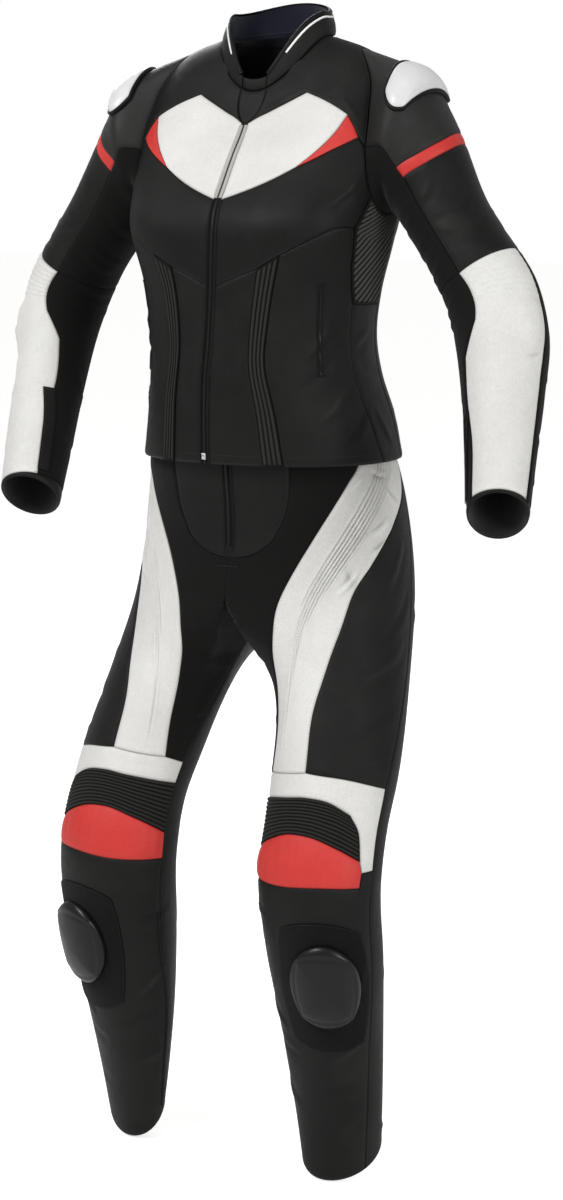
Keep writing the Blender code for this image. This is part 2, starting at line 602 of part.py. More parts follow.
def sleeve_half(letter, side):
    """The panels of one sleeve."""

    def make(name, places, look, raised=None, ring=False, chords=None):
        panel(f"{name}_{letter}", places, sleeve(side), sleeve_normal(side), look, raised, ring, chords=chords)

    armhole_turns = np.concatenate([np.linspace(-90, 0, 7), np.linspace(0, 95, 7)[1:]])
    top = np.stack([armhole_turns, 0 * armhole_turns], -1)
    high, low = stripe_high + (0, STRIPE_RISE[side]), stripe_low + (0, STRIPE_RISE[side])
    back = trace(3, (BACK_TURN, 0.0), high[0])
    front = trace(3, (FRONT_TURN, 0.0), high[-1])
    make("shoulder_panel", patch(top, high, back, front), "black_leather")
    make("arm_stripe", patch(high, low, trace(1, high[0], low[0]), trace(1, high[-1], low[-1])), "red_leather")
    lower_back = trace(4, low[0], (BACK_TURN, 0.435))
    lower_front = trace(4, low[-1], (FRONT_TURN, 0.452))
    make("upper_arm", patch(low, elbow_seam, lower_back, lower_front), "black_leather")
    under_turns = np.concatenate([np.linspace(95, 140, 4), np.linspace(140, 220, 5)[1:], np.linspace(220, 270, 4)[1:]])
    top = np.stack([under_turns, 0 * under_turns], -1)
    front = chain(front, trace(1, high[-1], low[-1]), lower_front)
    back = chain(back, trace(1, high[0], low[0]), lower_back) + FULL_TURN
    low = np.stack([under_turns, np.linspace(0.452, 0.435, len(under_turns))], -1)
    make("sleeve_under", patch(top, low, front, back), "stretch_cloth")
    outer_edge = line_at(-2.0, forearm_levels)
    wrist = trace(8, (-2.0, 1.0), (117.0, 1.0))
    grid = patch(elbow_seam[4:], wrist, outer_edge, forearm_front)
    make("forearm", grid, "white_leather", cords(grid.shape[:2], 0, 0, 13), chords=dict(left=2, right=2))
    top = chain(trace(6, (FRONT_TURN, 0.452), (BACK_TURN + 360, 0.435)), elbow_seam[:5] + FULL_TURN)
    low = trace(10, (117.0, 1.0), (358.0, 1.0))
    back_edge = line_at(358.0, forearm_levels[::2])
    make("forearm_under", patch(top, low, forearm_front[::2], back_edge), "stretch_cloth")
    turns = np.arange(0, 360, 22.5)
    reach = CUFF["least"] + (CUFF["most"] - CUFF["least"]) * (1 - np.cos(np.radians(turns - CUFF["turn"]))) / 2
    rows = np.linspace(0, 1, 3)[:, None]
    cuff = np.stack(np.broadcast_arrays(turns[None], 1.0 + rows * reach[None]), -1)
    make("cuff", cuff, "black_leather", ring=True)


for letter, side in SIDES:
    sleeve_half(letter, side)

# Trouser seams, as (turn, level) for either leg.
WAIST_LEVEL = 0.430
HEM = 1.340
MIDDLE = RISE["front"]
BEHIND = RISE["back"]
RIB_ROWS = 18
CHANNEL_HEIGHT = 0.0014
CAP_CROWN = 0.003
fly_side = trace(4, (-9.0, WAIST_LEVEL), (-10.5, 0.490), (-17.0, 0.545), (-28.0, 0.579))
fly_foot = trace(3, (-28.0, 0.579), (-42.0, 0.596), (MIDDLE, 0.602))
rise_front = trace(1, (MIDDLE, 0.602), (MIDDLE, 0.650))
rise_back = trace(4, (BEHIND, WAIST_LEVEL), (BEHIND, 0.650))
crotch_front = trace(2, (MIDDLE, 0.650), (-92.0, 0.650))
crotch_back = trace(3, (BEHIND, 0.650), (268.0, 0.650))
inseam = trace(4, (268.0, 0.650), (272.0, 0.750), (284.0, 0.862))
thigh_in = trace(
    14,
    (66.0, WAIST_LEVEL), (50.0, 0.487), (33.0, 0.513), (15.0, 0.545), (2.0, 0.572), (-14.0, 0.615),
    (-23.0, 0.650), (-29.0, 0.690), (-34.0, 0.720), (-37.0, 0.750), (-43.0, 0.803), (-53.0, 0.852),
)
hip_side = trace(2, (150.0, WAIST_LEVEL), (128.0, 0.505))
thigh_top = trace(4, (128.0, 0.505), (112.0, 0.530), (84.0, 0.560))
thigh_side = trace(
    8, (84.0, 0.560), (47.0, 0.605), (29.0, 0.636), (20.0, 0.686), (13.0, 0.7435), (6.0, 0.783), (0.0, 0.841)
)
outer_seam = trace(8, (128.0, 0.505), (115.0, 0.600), (100.0, 0.750), (81.0, 0.862))
band_inside = trace(3, (-76.0, 0.862), (-53.0, 0.852))
band_front = trace(10, (-53.0, 0.852), (0.0, 0.841))
band_outside = trace(3, (0.0, 0.841), (32.0, 0.845), (81.0, 0.862))
strip_out = trace(7, (81.0, 0.862), (81.0, 0.951))
ribs_top = trace(16, (-76.0, 0.886), (-22.0, 0.872), (2.5, 0.868), (23.0, 0.871), (45.0, 0.885))
strip_in = trace(6, (45.0, 0.885), (57.0, 0.907), (62.0, 0.9376))
strip_end = trace(1, (62.0, 0.9376), (65.5, 0.951))
ribs_out = trace(RIB_ROWS, (45.0, 0.885), (57.0, 0.907), (62.0, 0.9376))
ribs_in = trace(RIB_ROWS, (-76.0, 0.886), (-76.0, 0.943))
cap_top = trace(8, (-76.0, 0.943), (-38.0, 0.921), (-9.8, 0.909), (12.0, 0.910), (36.0, 0.921), (62.0, 0.9376))
cap_low = trace(8, (-76.0, 0.974), (-14.0, 0.9706), (20.0, 0.967), (64.0, 0.968))
cap_in = trace(2, (-76.0, 0.943), (-76.0, 0.974))
cap_end = trace(1, (65.5, 0.951), (64.0, 0.968))
shin_out = chain(
    trace(1, (81.0, 0.951), (77.0, 1.015)),
    trace(4, (77.0, 1.015), (77.0, 1.077), (71.0, 1.180)),
    trace(3, (71.0, 1.180), (64.0, HEM)),
)
shin_in = chain(
    trace(1, (284.0, 0.974), (287.0, 1.020)),
    trace(4, (287.0, 1.020), (286.0, 1.077), (274.0, 1.180)),
    trace(3, (274.0, 1.180), (278.0, HEM)),
)
knee_in = chain(
    trace(1, (284.0, 0.862), (284.0, 0.886)),
    trace(3, (284.0, 0.886), (284.0, 0.943)),
    trace(2, (284.0, 0.943), (284.0, 0.974)),
)
PATCH_ROWS = slice(1, 6)
PATCH_COLUMNS = slice(3, 11)
PATCH_WALL = 0.0012


def trouser_leg(letter, side):
    """The panels of one leg, with its half of the hips."""

    def make(name, places, look, raised=None, **more):
        panel(f"{name}_{letter}", places, leg(side), leg_normal(side), look, raised, clear=side, **more)

    left = chain(fly_side, fly_foot, rise_front, crotch_front, inseam - FULL_TURN)
    make("front_gusset", strip(left, thigh_in, 4), "stretch_cloth")
    right = chain(hip_side, thigh_top, thigh_side)
    thigh = patch(trace(10, (66.0, WAIST_LEVEL), (150.0, WAIST_LEVEL)), band_front, thigh_in, right)
    channels = cords(thigh.shape[:2], 1) * CHANNEL_HEIGHT / RIB_HEIGHT
    channels[9:] = 0
    make("thigh_panel", thigh, "white_leather", channels)
    low = trace(4, (0.0, 0.841), (32.0, 0.845), (81.0, 0.862))
    make("outer_thigh", patch(thigh_top[::-1], low, thigh_side, outer_seam), "black_leather")
    left = chain(band_inside, band_front, band_outside, strip_out)
    right = chain(ribs_top, strip_in, strip_end)
    make("knee_band", strip(left, right, 1), "white_leather")
    ribs = patch(ribs_top[::2], cap_top, ribs_in, ribs_out)
    make("knee_ribs", ribs, "stretch_cloth", cords(ribs.shape[:2], 0), chords=dict(left=6, right=3))
    cap = patch(cap_top, cap_low, cap_in, chain(strip_end, cap_end))
    crown = np.zeros(cap.shape[:2])
    crown[1, 1:-1] = CAP_CROWN
    make("knee_cap", cap, "red_leather", crown)
    shin_top = chain(cap_low, cap_end[::-1], trace(1, (65.5, 0.951), (81.0, 0.951)))
    shin = patch(shin_top, trace(10, (-82.0, HEM), (64.0, HEM)), shin_in - FULL_TURN, shin_out)
    make("shin_panel", shin, "black_leather")
    lift = LAID_GAP + PATCH_WALL
    make("slider_patch", shin[PATCH_ROWS, PATCH_COLUMNS], "velcro", lift=lift, wall=PATCH_WALL)
    left = chain(hip_side, outer_seam, strip_out, shin_out)
    right = chain(rise_back, crotch_back, inseam, knee_in, shin_in)
    make("leg_back", strip(left, right, 6), "black_leather")


for letter, side in SIDES:
    trouser_leg(letter, side)


LEAST_APART = 0.0005


def front_hips(u, v):
    """The front of both hips as one surface, with its turn measured from the middle."""
    u, v = np.broadcast_arrays(np.asarray(u, float), np.asarray(v, float))
    point = leg(1)(MIDDLE + np.abs(u), v)
    point[..., 0] = np.maximum(point[..., 0], LEAST_APART * np.abs(u)) * np.sign(u)
    return point


def front_hips_normal(u, v):
    return facing(front_hips, u, v, -1)


FLY_ZIP_ROWS = (0.12, 1.0, 2.0, 3.0, 4.0)
FLY_ZIP_COLUMNS = (2.7, 3.0, 3.3)
fly_edge = (fly_side - (MIDDLE, 0))[::-1]
fly_end = fly_foot - (MIDDLE, 0)
yoke_low = chain(mirrored(fly_end), fly_end[::-1])
yoke_top = trace(6, (MIDDLE + 9.0, WAIST_LEVEL), (-MIDDLE - 9.0, WAIST_LEVEL))
fly_yoke = patch(yoke_low, yoke_top, mirrored(fly_edge), fly_edge)
panel("fly_yoke", fly_yoke, front_hips, front_hips_normal, "black_leather")


def on_facets(grid, rows, columns):
    """Points of a grid at part rows and columns, on the flat faces between its own points."""
    at_rows = np.stack([np.interp(rows, np.arange(len(grid)), line) for line in grid.reshape(len(grid), -1).T], -1)
    at_rows = at_rows.reshape(len(rows), *grid.shape[1:])
    lines = at_rows.transpose(1, 0, 2).reshape(grid.shape[1], -1).T
    both = np.stack([np.interp(columns, np.arange(grid.shape[1]), line) for line in lines])
    return both.reshape(len(rows), 3, len(columns)).transpose(0, 2, 1)


yoke_points = front_hips(fly_yoke[..., 0], fly_yoke[..., 1])
yoke_normals = front_hips_normal(fly_yoke[..., 0], fly_yoke[..., 1])
zip_inner = on_facets(yoke_points + yoke_normals * LAID_GAP, FLY_ZIP_ROWS, FLY_ZIP_COLUMNS)
zip_outer = on_facets(yoke_points + yoke_normals * (LAID_GAP + PATCH_WALL), FLY_ZIP_ROWS, FLY_ZIP_COLUMNS)
solid("fly_zip", zip_outer, zip_inner, "zip_metal")

# Hard shells: each is a dome on a round-cornered grid of (turn, level).
CUP = dict(
    turn=10.0, half_turn=50.0, level=0.072, half_level=0.029, height=0.007, lift=0.0010, squareness=0.6, lean=0.006
)
KNEE_SLIDER = dict(
    turn=24.2, half_turn=34.5, level=1.0885, half_level=0.054, height=0.015, lift=0.0022, squareness=1.0, lean=0.0
)
DOME_RIM = 0.35


def dome(name, surface, normals, look, size, rows=6, count=8):
    """A hard shell: flat underneath, steep at its rim and gently crowned."""
    s, t = np.meshgrid(np.linspace(-1, 1, count + 1), np.linspace(-1, 1, rows + 1))
    x = s * np.sqrt(1 - size["squareness"] * t * t / 2)
    y = t * np.sqrt(1 - size["squareness"] * s * s / 2)
    u = size["turn"] + size["half_turn"] * x
    v = size["level"] + size["half_level"] * y - size["lean"] * x
    edge = np.maximum(np.abs(s), np.abs(t))
    crown = size["height"] * np.sqrt(np.clip(1 - edge**2 * (1 - DOME_RIM**2), 0, 1))
    points, facing_out = surface(u, v), normals(u, v)
    solid(name, points + facing_out * (size["lift"] + crown)[..., None], points + facing_out * size["lift"], look)


for letter, side in SIDES:
    dome(f"shoulder_cup_{letter}", sleeve(side), sleeve_normal(side), "hard_white", CUP)
    dome(f"knee_slider_{letter}", leg(side), leg_normal(side), "hard_black", KNEE_SLIDER)
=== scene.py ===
import json
import bpy
import mathutils
import numpy as np
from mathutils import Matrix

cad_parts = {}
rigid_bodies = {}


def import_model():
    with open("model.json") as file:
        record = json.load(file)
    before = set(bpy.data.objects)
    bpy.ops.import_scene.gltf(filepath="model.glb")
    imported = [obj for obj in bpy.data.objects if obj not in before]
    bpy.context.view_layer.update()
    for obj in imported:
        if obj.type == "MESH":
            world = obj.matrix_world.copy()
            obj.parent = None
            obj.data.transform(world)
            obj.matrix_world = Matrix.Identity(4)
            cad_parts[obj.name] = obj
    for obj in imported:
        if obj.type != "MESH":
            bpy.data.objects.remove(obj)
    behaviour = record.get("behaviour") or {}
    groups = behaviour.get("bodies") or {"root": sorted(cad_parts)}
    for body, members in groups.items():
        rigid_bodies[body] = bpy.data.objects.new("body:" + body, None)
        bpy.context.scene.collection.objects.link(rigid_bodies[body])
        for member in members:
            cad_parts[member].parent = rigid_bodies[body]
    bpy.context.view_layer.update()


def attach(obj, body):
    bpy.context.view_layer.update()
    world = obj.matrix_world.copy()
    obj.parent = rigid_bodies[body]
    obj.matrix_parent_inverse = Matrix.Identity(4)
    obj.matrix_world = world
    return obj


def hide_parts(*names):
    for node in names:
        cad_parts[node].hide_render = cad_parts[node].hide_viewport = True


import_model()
scene = bpy.context.scene
print("frame loaded")

# the view, the floor and the light
view = dict(
    azimuth=30.0, elevation=9.8, distance=3.03, target=(0.004, 0.0, -0.673), lens=73.29, sensor=36.0,
    clipEnd=60.0,
)
studio = dict(
    floorLevel=-1.3575, floorSize=60.0, floorTone=(0.90, 0.90, 0.895), floorRoughness=0.9, floorShine=0.1,
    floorGlow=0.62, worldTone=(1.0, 1.0, 1.0), worldLight=0.47, worldSeen=1.0,
)
lamps = [
    dict(name="keyLight", place=(-1.0, -3.0, 2.2), size=1.5, power=104.0),
    dict(name="sideLight", place=(3.6, -1.4, 0.7), size=1.3, power=58.0),
    dict(name="rimLight", place=(-2.6, 2.4, 1.6), size=1.8, power=46.0),
]


def aim(thing, place, target):
    # points -Z of the thing at the target with +Y up
    away = np.array(place, float) - np.array(target, float)
    away /= np.linalg.norm(away)
    right = np.cross((0.0, 0.0, 1.0), away)
    right /= np.linalg.norm(right)
    up = np.cross(away, right)
    matrix = np.eye(4)
    matrix[:3, 0], matrix[:3, 1], matrix[:3, 2], matrix[:3, 3] = right, up, away, place
    thing.matrix_world = mathutils.Matrix(matrix.tolist())


def makeCamera():
    turn, rise = np.radians(view["azimuth"]), np.radians(view["elevation"])
    away = np.array([np.sin(turn) * np.cos(rise), -np.cos(turn) * np.cos(rise), np.sin(rise)])
    data = bpy.data.cameras.new("camera")
    data.lens = view["lens"]
    data.sensor_width = view["sensor"]
    data.clip_end = view["clipEnd"]
    camera = bpy.data.objects.new("camera", data)
    scene.collection.objects.link(camera)
    aim(camera, np.array(view["target"]) + away * view["distance"], view["target"])
    scene.camera = camera


def seenOnly(tree, socket, given, seen):
    # the backdrop looks brighter than the light that it gives
    path, strength = tree.nodes.new("ShaderNodeLightPath"), tree.nodes.new("ShaderNodeMapRange")
    strength.inputs["To Min"].default_value = given
    strength.inputs["To Max"].default_value = seen
    tree.links.new(path.outputs["Is Camera Ray"], strength.inputs["Value"])
    tree.links.new(strength.outputs["Result"], socket)


def makeStudio():
    half = studio["floorSize"] / 2
    mesh = bpy.data.meshes.new("floor")
    corners = [(-half, -half), (half, -half), (half, half), (-half, half)]
    mesh.from_pydata([(x, y, studio["floorLevel"]) for x, y in corners], [], [(0, 1, 2, 3)])
    floor = bpy.data.objects.new("floor", mesh)
    scene.collection.objects.link(floor)
    paint = bpy.data.materials.new("floorPaint")
    paint.use_nodes = True
    shader = paint.node_tree.nodes["Principled BSDF"]
    shader.inputs["Base Color"].default_value = (*studio["floorTone"], 1.0)
    shader.inputs["Roughness"].default_value = studio["floorRoughness"]
    shader.inputs["Specular IOR Level"].default_value = studio["floorShine"]
    shader.inputs["Emission Color"].default_value = (*studio["floorTone"], 1.0)
    seenOnly(paint.node_tree, shader.inputs["Emission Strength"], 0.0, studio["floorGlow"])
    mesh.materials.append(paint)
    world = bpy.data.worlds.new("studioSky")
    world.use_nodes = True
    sky = world.node_tree.nodes["Background"]
    sky.inputs["Color"].default_value = (*studio["worldTone"], 1.0)
    seenOnly(world.node_tree, sky.inputs["Strength"], studio["worldLight"], studio["worldSeen"])
    scene.world = world
    for lamp in lamps:
        data = bpy.data.lights.new(lamp["name"], "AREA")
        data.shape = "DISK"
        data.size = lamp["size"]
        data.energy = lamp["power"]
        light = bpy.data.objects.new(lamp["name"], data)
        scene.collection.objects.link(light)
        aim(light, lamp["place"], view["target"])


scene.view_settings.view_transform = "Standard"
makeCamera()
makeStudio()
print("camera, floor and light made")

# sizes of the suit, in metres and degrees
suit = dict(
    wall=0.0024, seamGap=0.0001, laidGap=0.0004, zipHalfTurn=1.6, hemLevel=-0.490, neckLevel=0.006,
    waistLevel=0.430, legHem=1.340, middleTurn=-60.0, behindTurn=240.0, leastApart=0.0005,
)
sides = (("l", 1), ("r", -1))
fullTurn = np.array([360.0, 0.0])
placeScale = np.array([0.0024, 1.0])  # about how many metres a degree of turn and a step of level are
normalStep = dict(turn=0.4, level=0.001)


def table(names, *rows):
    return dict(zip(names.split(), np.array(rows, float).T))


bodyRings = table(
    "level   half    front  back   middle  frontZ  sideZ  backZ square",
    (-0.49, 0.1605, 0.134, 0.128, -0.012, -0.49, -0.49, -0.49, 0.04),
    (-0.44, 0.15, 0.133, 0.135, -0.018, -0.44, -0.44, -0.44, 0.04),
    (-0.39, 0.14, 0.125, 0.126, -0.03, -0.39, -0.39, -0.39, 0.04),
    (-0.344, 0.138, 0.117, 0.115, -0.036, -0.344, -0.344, -0.344, 0.04),
    (-0.29, 0.145, 0.116, 0.115, -0.037, -0.29, -0.29, -0.29, 0.04),
    (-0.235, 0.156, 0.122, 0.12, -0.032, -0.24, -0.235, -0.235, 0.05),
    (-0.18, 0.164, 0.126, 0.126, -0.023, -0.198, -0.18, -0.18, 0.05),
    (-0.12, 0.168, 0.115, 0.124, -0.012, -0.16, -0.12, -0.12, 0.05),
    (-0.07, 0.162, 0.1, 0.11, -0.005, -0.128, -0.07, -0.075, 0.04),
    (-0.035, 0.145, 0.084, 0.092, -0.001, -0.102, -0.03, -0.04, 0.02),
    (-0.012, 0.114, 0.072, 0.076, 0, -0.08, -0.006, -0.016, 0),
    (0.006, 0.07, 0.06, 0.059, 0, -0.056, 0.008, 0.012, 0),
)
zipLean = dict(turn=-6.0, reach=16.0, fromLevel=-0.200, toLevel=-0.490)
bust = dict(turn=38.0, turnSpread=24.0, level=-0.205, levelSpread=0.050, lift=0.013)
armhole = dict(turn=88.0, level=-0.105, turnReach=26.0, levelReach=0.092)
armRoot = dict(x=0.168, y=-0.005, z=-0.110, runStep=0.01, outwardRise=0.35)
leftArm = table(
    "level  x      y       z       out    front  steep",
    (0.06, 0.179, -0.006, -0.115, 0.081, 0.072, 81),
    (0.13, 0.196, -0.008, -0.138, 0.069, 0.064, 67),
    (0.19, 0.21, -0.012, -0.158, 0.058, 0.057, 52),
    (0.26, 0.228, -0.017, -0.19, 0.05, 0.053, 0),
    (0.38, 0.263, -0.023, -0.238, 0.049, 0.05, 0),
    (0.5, 0.301, -0.031, -0.293, 0.054, 0.052, 0),
    (0.6, 0.325, -0.055, -0.34, 0.054, 0.051, 0),
    (0.72, 0.348, -0.101, -0.395, 0.047, 0.046, 0),
    (0.85, 0.371, -0.153, -0.453, 0.04, 0.039, 0),
    (1, 0.392, -0.204, -0.508, 0.035, 0.034, 0),
)
rightArm = table(
    "level  x       y       z       out    front  steep",
    (0.06, -0.179, -0.005, -0.115, 0.081, 0.072, 81),
    (0.13, -0.197, -0.005, -0.138, 0.069, 0.064, 67),
    (0.19, -0.213, -0.004, -0.16, 0.058, 0.058, 52),
    (0.26, -0.237, -0.002, -0.195, 0.052, 0.055, 0),
    (0.38, -0.274, -0.002, -0.245, 0.05, 0.053, 0),
    (0.5, -0.304, -0.005, -0.298, 0.052, 0.054, 0),
    (0.6, -0.311, -0.02, -0.345, 0.049, 0.052, 0),
    (0.72, -0.3, -0.056, -0.405, 0.044, 0.047, 0),
    (0.85, -0.284, -0.101, -0.468, 0.042, 0.042, 0),
    (1, -0.266, -0.148, -0.533, 0.038, 0.038, 0),
)
arms = {1: leftArm, -1: rightArm}
hipRings = table(
    "level  half    front   back   middle  z       square",
    (0.43, 0.138, 0.1, 0.1, -0.018, -0.43, 0.03),
    (0.49, 0.1566, 0.11, 0.112, -0.015, -0.49, 0.04),
    (0.53, 0.163, 0.1145, 0.116, -0.006, -0.53, 0.04),
    (0.58, 0.17, 0.115, 0.119, -0.003, -0.582, 0.05),
    (0.65, 0.178, 0.119, 0.124, -0.01, -0.655, 0.06),
)
legRings = table(
    "level  x      y       out    front  z       tilt   toeOut",
    (0.76, 0.118, -0.052, 0.079, 0.09, -0.76, 0, 0),
    (0.86, 0.137, -0.104, 0.076, 0.074, -0.86, 0, 0),
    (0.91, 0.141, -0.13, 0.074, 0.067, -0.91, 0, 0),
    (0.97, 0.142, -0.149, 0.076, 0.061, -0.97, 0, 0),
    (1.07, 0.145, -0.14, 0.072, 0.059, -1.07, 0, 0),
    (1.18, 0.146, -0.121, 0.061, 0.049, -1.18, 0, 12),
    (1.27, 0.148, -0.11, 0.053, 0.037, -1.27, 0, 22),
    (1.34, 0.149, -0.103, 0.048, 0.029, -1.327, 0.028, 28),
)
crotchLevel = -0.645
hemTurn = 5.0
collarRim = dict(half=0.061, front=0.052, back=0.057, middle=0.004, frontZ=-0.006, sideZ=0.036, backZ=0.050)
collarOpen = dict(edge=14.0, full=62.0, lowest=0.30, bulge=0.003)


def asGrid(u, v):
    return np.broadcast_arrays(np.asarray(u, float), np.asarray(v, float))


def smooth(knots, values, at):
    slopes = np.gradient(values, knots, axis=0)
    k = np.clip(np.searchsorted(knots, at) - 1, 0, len(knots) - 2)
    span = knots[k + 1] - knots[k]
    t = (at - knots[k]) / span
    spread = (1,) * (values.ndim - 1)
    t = t.reshape(t.shape + spread)
    span = span.reshape(span.shape + spread)
    start = values[k] * (1 + 2 * t) * (1 - t) ** 2 + slopes[k] * span * t * (1 - t) ** 2
    return start + values[k + 1] * t * t * (3 - 2 * t) + slopes[k + 1] * span * t * t * (t - 1)


def throughSections(knots, sections, at):
    # a smooth run along a stack of sections, each with one point for every place
    slopes = np.gradient(sections, knots, axis=0)
    k = np.clip(np.searchsorted(knots, at) - 1, 0, len(knots) - 2)
    span = (knots[k + 1] - knots[k])[..., None]
    t = (at - knots[k])[..., None] / span

    def pick(stack, index):
        wanted = np.broadcast_to(index[None, ..., None], (1,) + stack.shape[1:])
        return np.take_along_axis(stack, wanted, 0)[0]

    start = pick(sections, k) * (1 + 2 * t) * (1 - t) ** 2 + pick(slopes, k) * span * t * (1 - t) ** 2
    end = pick(sections, k + 1) * t * t * (3 - 2 * t) + pick(slopes, k + 1) * span * t * t * (t - 1)
    return start + end


def ringPoint(turn, half, front, back, middle, frontZ, sideZ, backZ, square=0.0):
    s, c = np.sin(turn), np.cos(turn)
    fuller = 1 + square * np.sin(2 * turn) ** 2
    x = half * s * fuller
    y = middle - np.where(c > 0, front, back) * c * fuller
    z = sideZ * s * s + np.where(c > 0, frontZ, backZ) * c * c
    return np.stack(np.broadcast_arrays(x, y, z), -1)


def body(u, v):
    u, v = asGrid(u, v)
    share = np.clip((v - zipLean["fromLevel"]) / (zipLean["toLevel"] - zipLean["fromLevel"]), 0, 1)
    away = (u + 180) % 360 - 180
    u = u + zipLean["turn"] * share * share * (3 - 2 * share) * np.exp(-((away / zipLean["reach"]) ** 2))
    row = {name: smooth(bodyRings["level"], bodyRings[name], v) for name in bodyRings if name != "level"}
    turn = np.radians(u)
    point = ringPoint(turn, **row)
    lift = 0.0
    for side in (-1, 1):
        across = (u - side * bust["turn"]) / bust["turnSpread"]
        along = (v - bust["level"]) / bust["levelSpread"]
        lift = lift + bust["lift"] * np.exp(-across**2 - along**2)
    outward = np.stack([np.sin(turn), -np.cos(turn), 0 * turn], -1)
    return point + outward * lift[..., None]


def armholePlace(angle):
    angle = np.radians(angle)
    turn = armhole["turn"] - armhole["turnReach"] * np.sin(angle)
    return turn, armhole["level"] + armhole["levelReach"] * np.cos(angle)


def armFrame(side, v):
    arm = arms[side]
    knots = np.concatenate([[0.0], arm["level"]])
    root = [[side * armRoot["x"], armRoot["y"], armRoot["z"]]]
    centres = np.concatenate([root, np.stack([arm["x"], arm["y"], arm["z"]], -1)])
    step = armRoot["runStep"]
    run = smooth(knots, centres, v + step) - smooth(knots, centres, v - step)
    run /= np.linalg.norm(run, axis=-1, keepdims=True)
    outward = np.array([side, 0.0, armRoot["outwardRise"]])
    outward = outward - run * (run @ outward)[..., None]
    outward /= np.linalg.norm(outward, axis=-1, keepdims=True)
    return smooth(knots, centres, v), outward, np.cross(run, outward) * side


def armRing(side, i):
    arm = arms[side]
    centre, outward, forward = armFrame(side, arm["level"][i])
    if arm["steep"][i]:
        steep = np.radians(arm["steep"][i])
        outward, forward = np.array([side * np.cos(steep), 0.0, np.sin(steep)]), np.array([0.0, -1.0, 0.0])
    return centre, outward, forward


def sleeve(side):
    def surface(u, v):
        u, v = asGrid(u, v)
        arm = arms[side]
        turn = np.radians(u)
        armholeTurn, armholeLevel = armholePlace(u)
        sections = [body(side * armholeTurn, armholeLevel)]
        for i in range(len(arm["level"])):
            centre, outward, forward = armRing(side, i)
            reach = outward * (arm["out"][i] * np.cos(turn))[..., None]
            sections.append(centre + reach + forward * (arm["front"][i] * np.sin(turn))[..., None])
        return throughSections(np.concatenate([[0.0], arm["level"]]), np.stack(sections), v)

    return surface


def hipSection(i, u):
    row = {name: hipRings[name][i] for name in hipRings}
    front, back = suit["middleTurn"], suit["behindTurn"]
    share = (u - front) / (back - front)
    turn = np.radians(180 * np.clip(share, 0, 1))
    heights = dict(frontZ=row["z"], sideZ=row["z"], backZ=row["z"])
    sizes = {name: row[name] for name in ("half", "front", "back", "middle", "square")}
    around = ringPoint(turn, **sizes, **heights)
    inside = (u < front) | (u > back)
    innerTurn = np.where(u > back, u - 360, u)
    forward = np.clip((innerTurn - back + 360) / (360 + front - back), 0, 1)
    backY, frontY = row["middle"] + row["back"], row["middle"] - row["front"]
    drop = 4 * forward * (1 - forward) * (crotchLevel - row["z"]) * (i == len(hipRings["level"]) - 1)
    under = np.stack([0 * forward, backY + (frontY - backY) * forward, row["z"] + drop], -1)
    return np.where(inside[..., None], under, around)


def leg(side):
    def surface(u, v):
        u, v = asGrid(u, v)
        sections = [hipSection(i, u) for i in range(len(hipRings["level"]))]
        turn = np.radians(u)
        for i in range(len(legRings["level"])):
            row = {name: legRings[name][i] for name in legRings}
            toeOut = np.radians(row["toeOut"])
            wide, deep = row["out"] * np.sin(turn - toeOut), row["front"] * np.cos(turn - toeOut)
            x = row["x"] + wide * np.cos(toeOut) + deep * np.sin(toeOut)
            y = row["y"] + wide * np.sin(toeOut) - deep * np.cos(toeOut)
            z = row["z"] - row["tilt"] * np.cos(turn - np.radians(hemTurn))
            sections.append(np.stack([x, y, z], -1))
        knots = np.concatenate([hipRings["level"], legRings["level"]])
        return throughSections(knots, np.stack(sections), v) * np.array([side, 1, 1])

    return surface


def frontHips(u, v):
    u, v = asGrid(u, v)
    point = leg(1)(suit["middleTurn"] + np.abs(u), v)
    point[..., 0] = np.maximum(point[..., 0], suit["leastApart"] * np.abs(u)) * np.sign(u)
    return point


def collar(u, v):
    u, v = asGrid(u, v)
    base = body(u, np.full(u.shape, suit["neckLevel"]))
    rim = ringPoint(np.radians(u), **collarRim)
    away = np.minimum(u % 360, 360 - u % 360)
    rise = np.clip((away - collarOpen["edge"]) / (collarOpen["full"] - collarOpen["edge"]), 0, 1)
    rise = collarOpen["lowest"] + (1 - collarOpen["lowest"]) * np.sin(rise * np.pi / 2)
    share = (v * rise)[..., None]
    bulge = np.stack([np.sin(np.radians(u)), -np.cos(np.radians(u)), 0 * u], -1) * collarOpen["bulge"]
    return base + (rim - base) * share + bulge * share * (1 - share) * 4


def unit(vector):
    return vector / np.maximum(np.linalg.norm(vector, axis=-1, keepdims=True), 1e-12)


def facing(surface, u, v, flip):
    turn, level = normalStep["turn"], normalStep["level"]
    alongU = surface(u + turn, v) - surface(u - turn, v)
    alongV = surface(u, v + level) - surface(u, v - level)
    return unit(np.cross(alongU, alongV) * flip)


def armholeMitre(side, angle):
    turn, level = armholePlace(angle)
    return unit(facing(body, side * turn, level, 1) + facing(sleeve(side), angle, 0 * angle, side))


def bodyNormal(u, v):
    normal = facing(body, u, v, 1)
    turn = (u + 180) % 360 - 180
    ahead = (armhole["turn"] - np.abs(turn)) / armhole["turnReach"]
    above = (v - armhole["level"]) / armhole["levelReach"]
    onEdge = np.abs(np.hypot(ahead, above) - 1) < 1e-4
    for side in (-1, 1):
        there = onEdge & (turn * side > 0)
        if there.any():
            angle = np.degrees(np.arctan2(ahead[there], above[there]))
            normal[there] = armholeMitre(side, angle)
    return normal


def sleeveNormal(side):
    def normals(u, v):
        normal = facing(sleeve(side), u, v, side)
        there = v < 1e-6
        if there.any():
            normal[there] = armholeMitre(side, u[there])
        return normal

    return normals


def legNormal(side):
    return lambda u, v: facing(leg(side), u, v, -side)


def collarNormal(u, v):
    return facing(collar, u, v, 1)


def frontHipsNormal(u, v):
    return facing(frontHips, u, v, -1)


